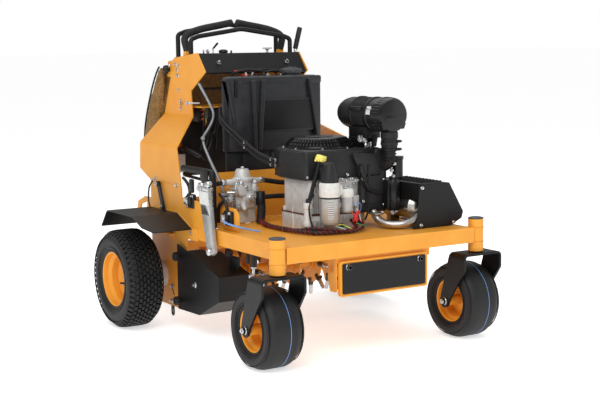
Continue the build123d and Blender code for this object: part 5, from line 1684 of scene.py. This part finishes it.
def makeUnderside():
    # Parts seen below the deck: a gas spring, brackets and an inner star knob.
    shape = bmesh.new()
    addBar(shape, (-380, 9, 428), (-382, 14, 350), 14, 14, 24, 2)
    addBar(shape, (-380, 60, 428), (-382, 64, 360), 9, 9, 20, 2)
    starKnob(shape, -380, 206, 388, -1)
    addPlate(shape, [(150, 372), (262, 372), (240, 310), (170, 320)], "x", -372, -366, 6, 1)
    addBlock(shape, (-300, -60, 424), (300, -48, 431), 2)
    finishPiece(shape, "underdeck_spring_and_knob", knobPlastic, "chassis")
    bright = bmesh.new()
    addBar(bright, (-382, 14, 350), (-383, 20, 316), 6, 6, 16, 1)
    addBar(bright, (-382, 14, 348), (-382, 14, 354), 15, 15, 24, 1)
    addBolt(bright, (-391, 22, 312), (-1, 0, 0), 16)
    finishPiece(bright, "underdeck_spring_rod", zincSteel, "chassis")


makeFrontDetails()
makeUnderside()
print("frame details ready")

# Finishes of the frame's own steelwork.

nodeFinishes = {
    "orange_paint": (orangePowderCoat, ["frame_tubes", "caster_pivot_tubes", "engine_deck",
                                        "lower_side_plates",
                                        "left_tower_panel", "right_tower_panel", "tower_cross_members",
                                        "front_bracket", "tine_carrier", "left_caster_rim",
                                        "right_caster_rim",
                                        "left_drive_rim", "right_drive_rim"]),
    "black_paint": (blackPowderCoat, ["front_panel", "chain_covers", "fenders", "console_housing",
                                      "reference_bars", "left_caster_fork", "right_caster_fork",
                                      "muffler_guard", "control_tube_frame", "operator_platform",
                                      "left_drive_lever", "right_drive_lever", "brake_lever"]),
    "black_plastic": (mouldedPlastic, ["blower_housing", "fan_cover", "air_cleaner", "intake_stack"]),
    "tank_plastic": (tankPolyethylene, ["fuel_tank", "fuel_cap"]),
    "cast_aluminium": (castAluminium, ["engine_block", "hydro_pumps", "wheel_motors"]),
    "zinc_steel": (zincSteel, ["frame_bolts", "pivot_pins", "ignition_key", "throttle_lever"]),
    "muffler_steel": (muffSteel, ["muffler", "starter_motor", "lift_actuator"]),
    "white_paint": (whiteEnamel, ["hydraulic_filter"]),
    "tyre_rubber": (tyreRubber, ["left_caster_tyre", "right_caster_tyre", "left_drive_tyre",
                                 "right_drive_tyre"]),
    "hose_rubber": (hoseRubber, ["hoses", "fuel_hoses", "wiring_loom", "drive_belt"]),
    "grip_foam": (gripFoam, ["left_lever_grip", "right_lever_grip"]),
    "knob_plastic": (knobPlastic, ["star_knobs", "choke_knob", "dipstick_tube"]),
    "bare_steel": (darkSteel, ["crank_pulley", "pump_pulley", "tine_reel"]),
}
for material, names in nodeFinishes.values():
    for name in names:
        for slot in nodes[name].material_slots:
            slot.material = material
print("steelwork finished")


# Floor, light and camera.

stage = {"floorGrey": "#FBFBFB", "floorGlow": 0.58, "worldLight": 0.42, "keyPower": 175, "fillPower": 26,
         "topPower": 90}


def makeFloor():
    floor = bmesh.new()
    bmesh.ops.create_grid(floor, x_segments=1, y_segments=1, size=200)
    mesh = bpy.data.meshes.new("floor")
    floor.to_mesh(mesh)
    floor.free()
    material = startMaterial("matt_white_floor", {
        "Base Color": linear(stage["floorGrey"]), "Roughness": 0.9, "Specular IOR Level": 0.1,
        "Emission Color": (1, 1, 1, 1), "Emission Strength": stage["floorGlow"]})[0]
    mesh.materials.append(material)
    floorPiece = bpy.data.objects.new("floor", mesh)
    bpy.context.scene.collection.objects.link(floorPiece)


def makeLight(name, place, target, size, power):
    light = bpy.data.lights.new(name, "AREA")
    light.shape = "RECTANGLE"
    light.size, light.size_y = size
    light.energy = power
    lamp = bpy.data.objects.new(name, light)
    lamp.location = place
    lamp.rotation_euler = (Vector(place) - Vector(target)).to_track_quat("Z", "Y").to_euler()
    bpy.context.scene.collection.objects.link(lamp)


def makeWorld():
    world = bpy.data.worlds.new("studio")
    world.use_nodes = True
    tree = world.node_tree
    background = tree.nodes["Background"]
    background.inputs["Color"].default_value = (1, 1, 1, 1)
    ray = addNode(tree, "ShaderNodeLightPath").outputs["Is Camera Ray"]  # a white backdrop, a dimmer room
    light = addNode(tree, "ShaderNodeMapRange", None, {"To Min": stage["worldLight"], "To Max": 1.0},
                    {"Value": ray})
    tree.links.new(light.outputs["Result"], background.inputs["Strength"])
    bpy.context.scene.world = world
    bpy.context.scene.view_settings.view_transform = "Standard"


camera = {"turn": -31.86, "tilt": 7.09, "roll": -0.66, "away": 5.73514, "lens": 75.236,
          "target": (0.03006, -0.162, 0.57884)}


def makeCamera():
    data = bpy.data.cameras.new("camera")
    data.lens = camera["lens"]
    data.sensor_width = 36
    turn, tilt, roll = (math.radians(camera[key]) for key in ("turn", "tilt", "roll"))
    back = Vector((math.sin(turn) * math.cos(tilt), -math.cos(turn) * math.cos(tilt), math.sin(tilt)))
    right = Vector((math.cos(turn), math.sin(turn), 0))
    up = back.cross(right)
    right, up = (math.cos(roll) * right + math.sin(roll) * up, math.cos(roll) * up - math.sin(roll) * right)
    holder = bpy.data.objects.new("camera", data)
    holder.matrix_world = Matrix.Translation(Vector(camera["target"]) + back * camera["away"]) @ Matrix(
        (right, up, back)).transposed().to_4x4()
    bpy.context.scene.collection.objects.link(holder)
    bpy.context.scene.camera = holder


makeFloor()
makeWorld()
makeLight("key", (-3.2, -3.4, 4.2), (0, 0, 0.6), (3.5, 3.5), stage["keyPower"])
makeLight("fill", (3.6, -3.2, 2.2), (0, 0, 0.6), (3.0, 3.0), stage["fillPower"])
makeLight("top", (0.5, 1.5, 4.6), (0, 0, 0.6), (4.0, 4.0), stage["topPower"])
makeCamera()
print("stage ready")
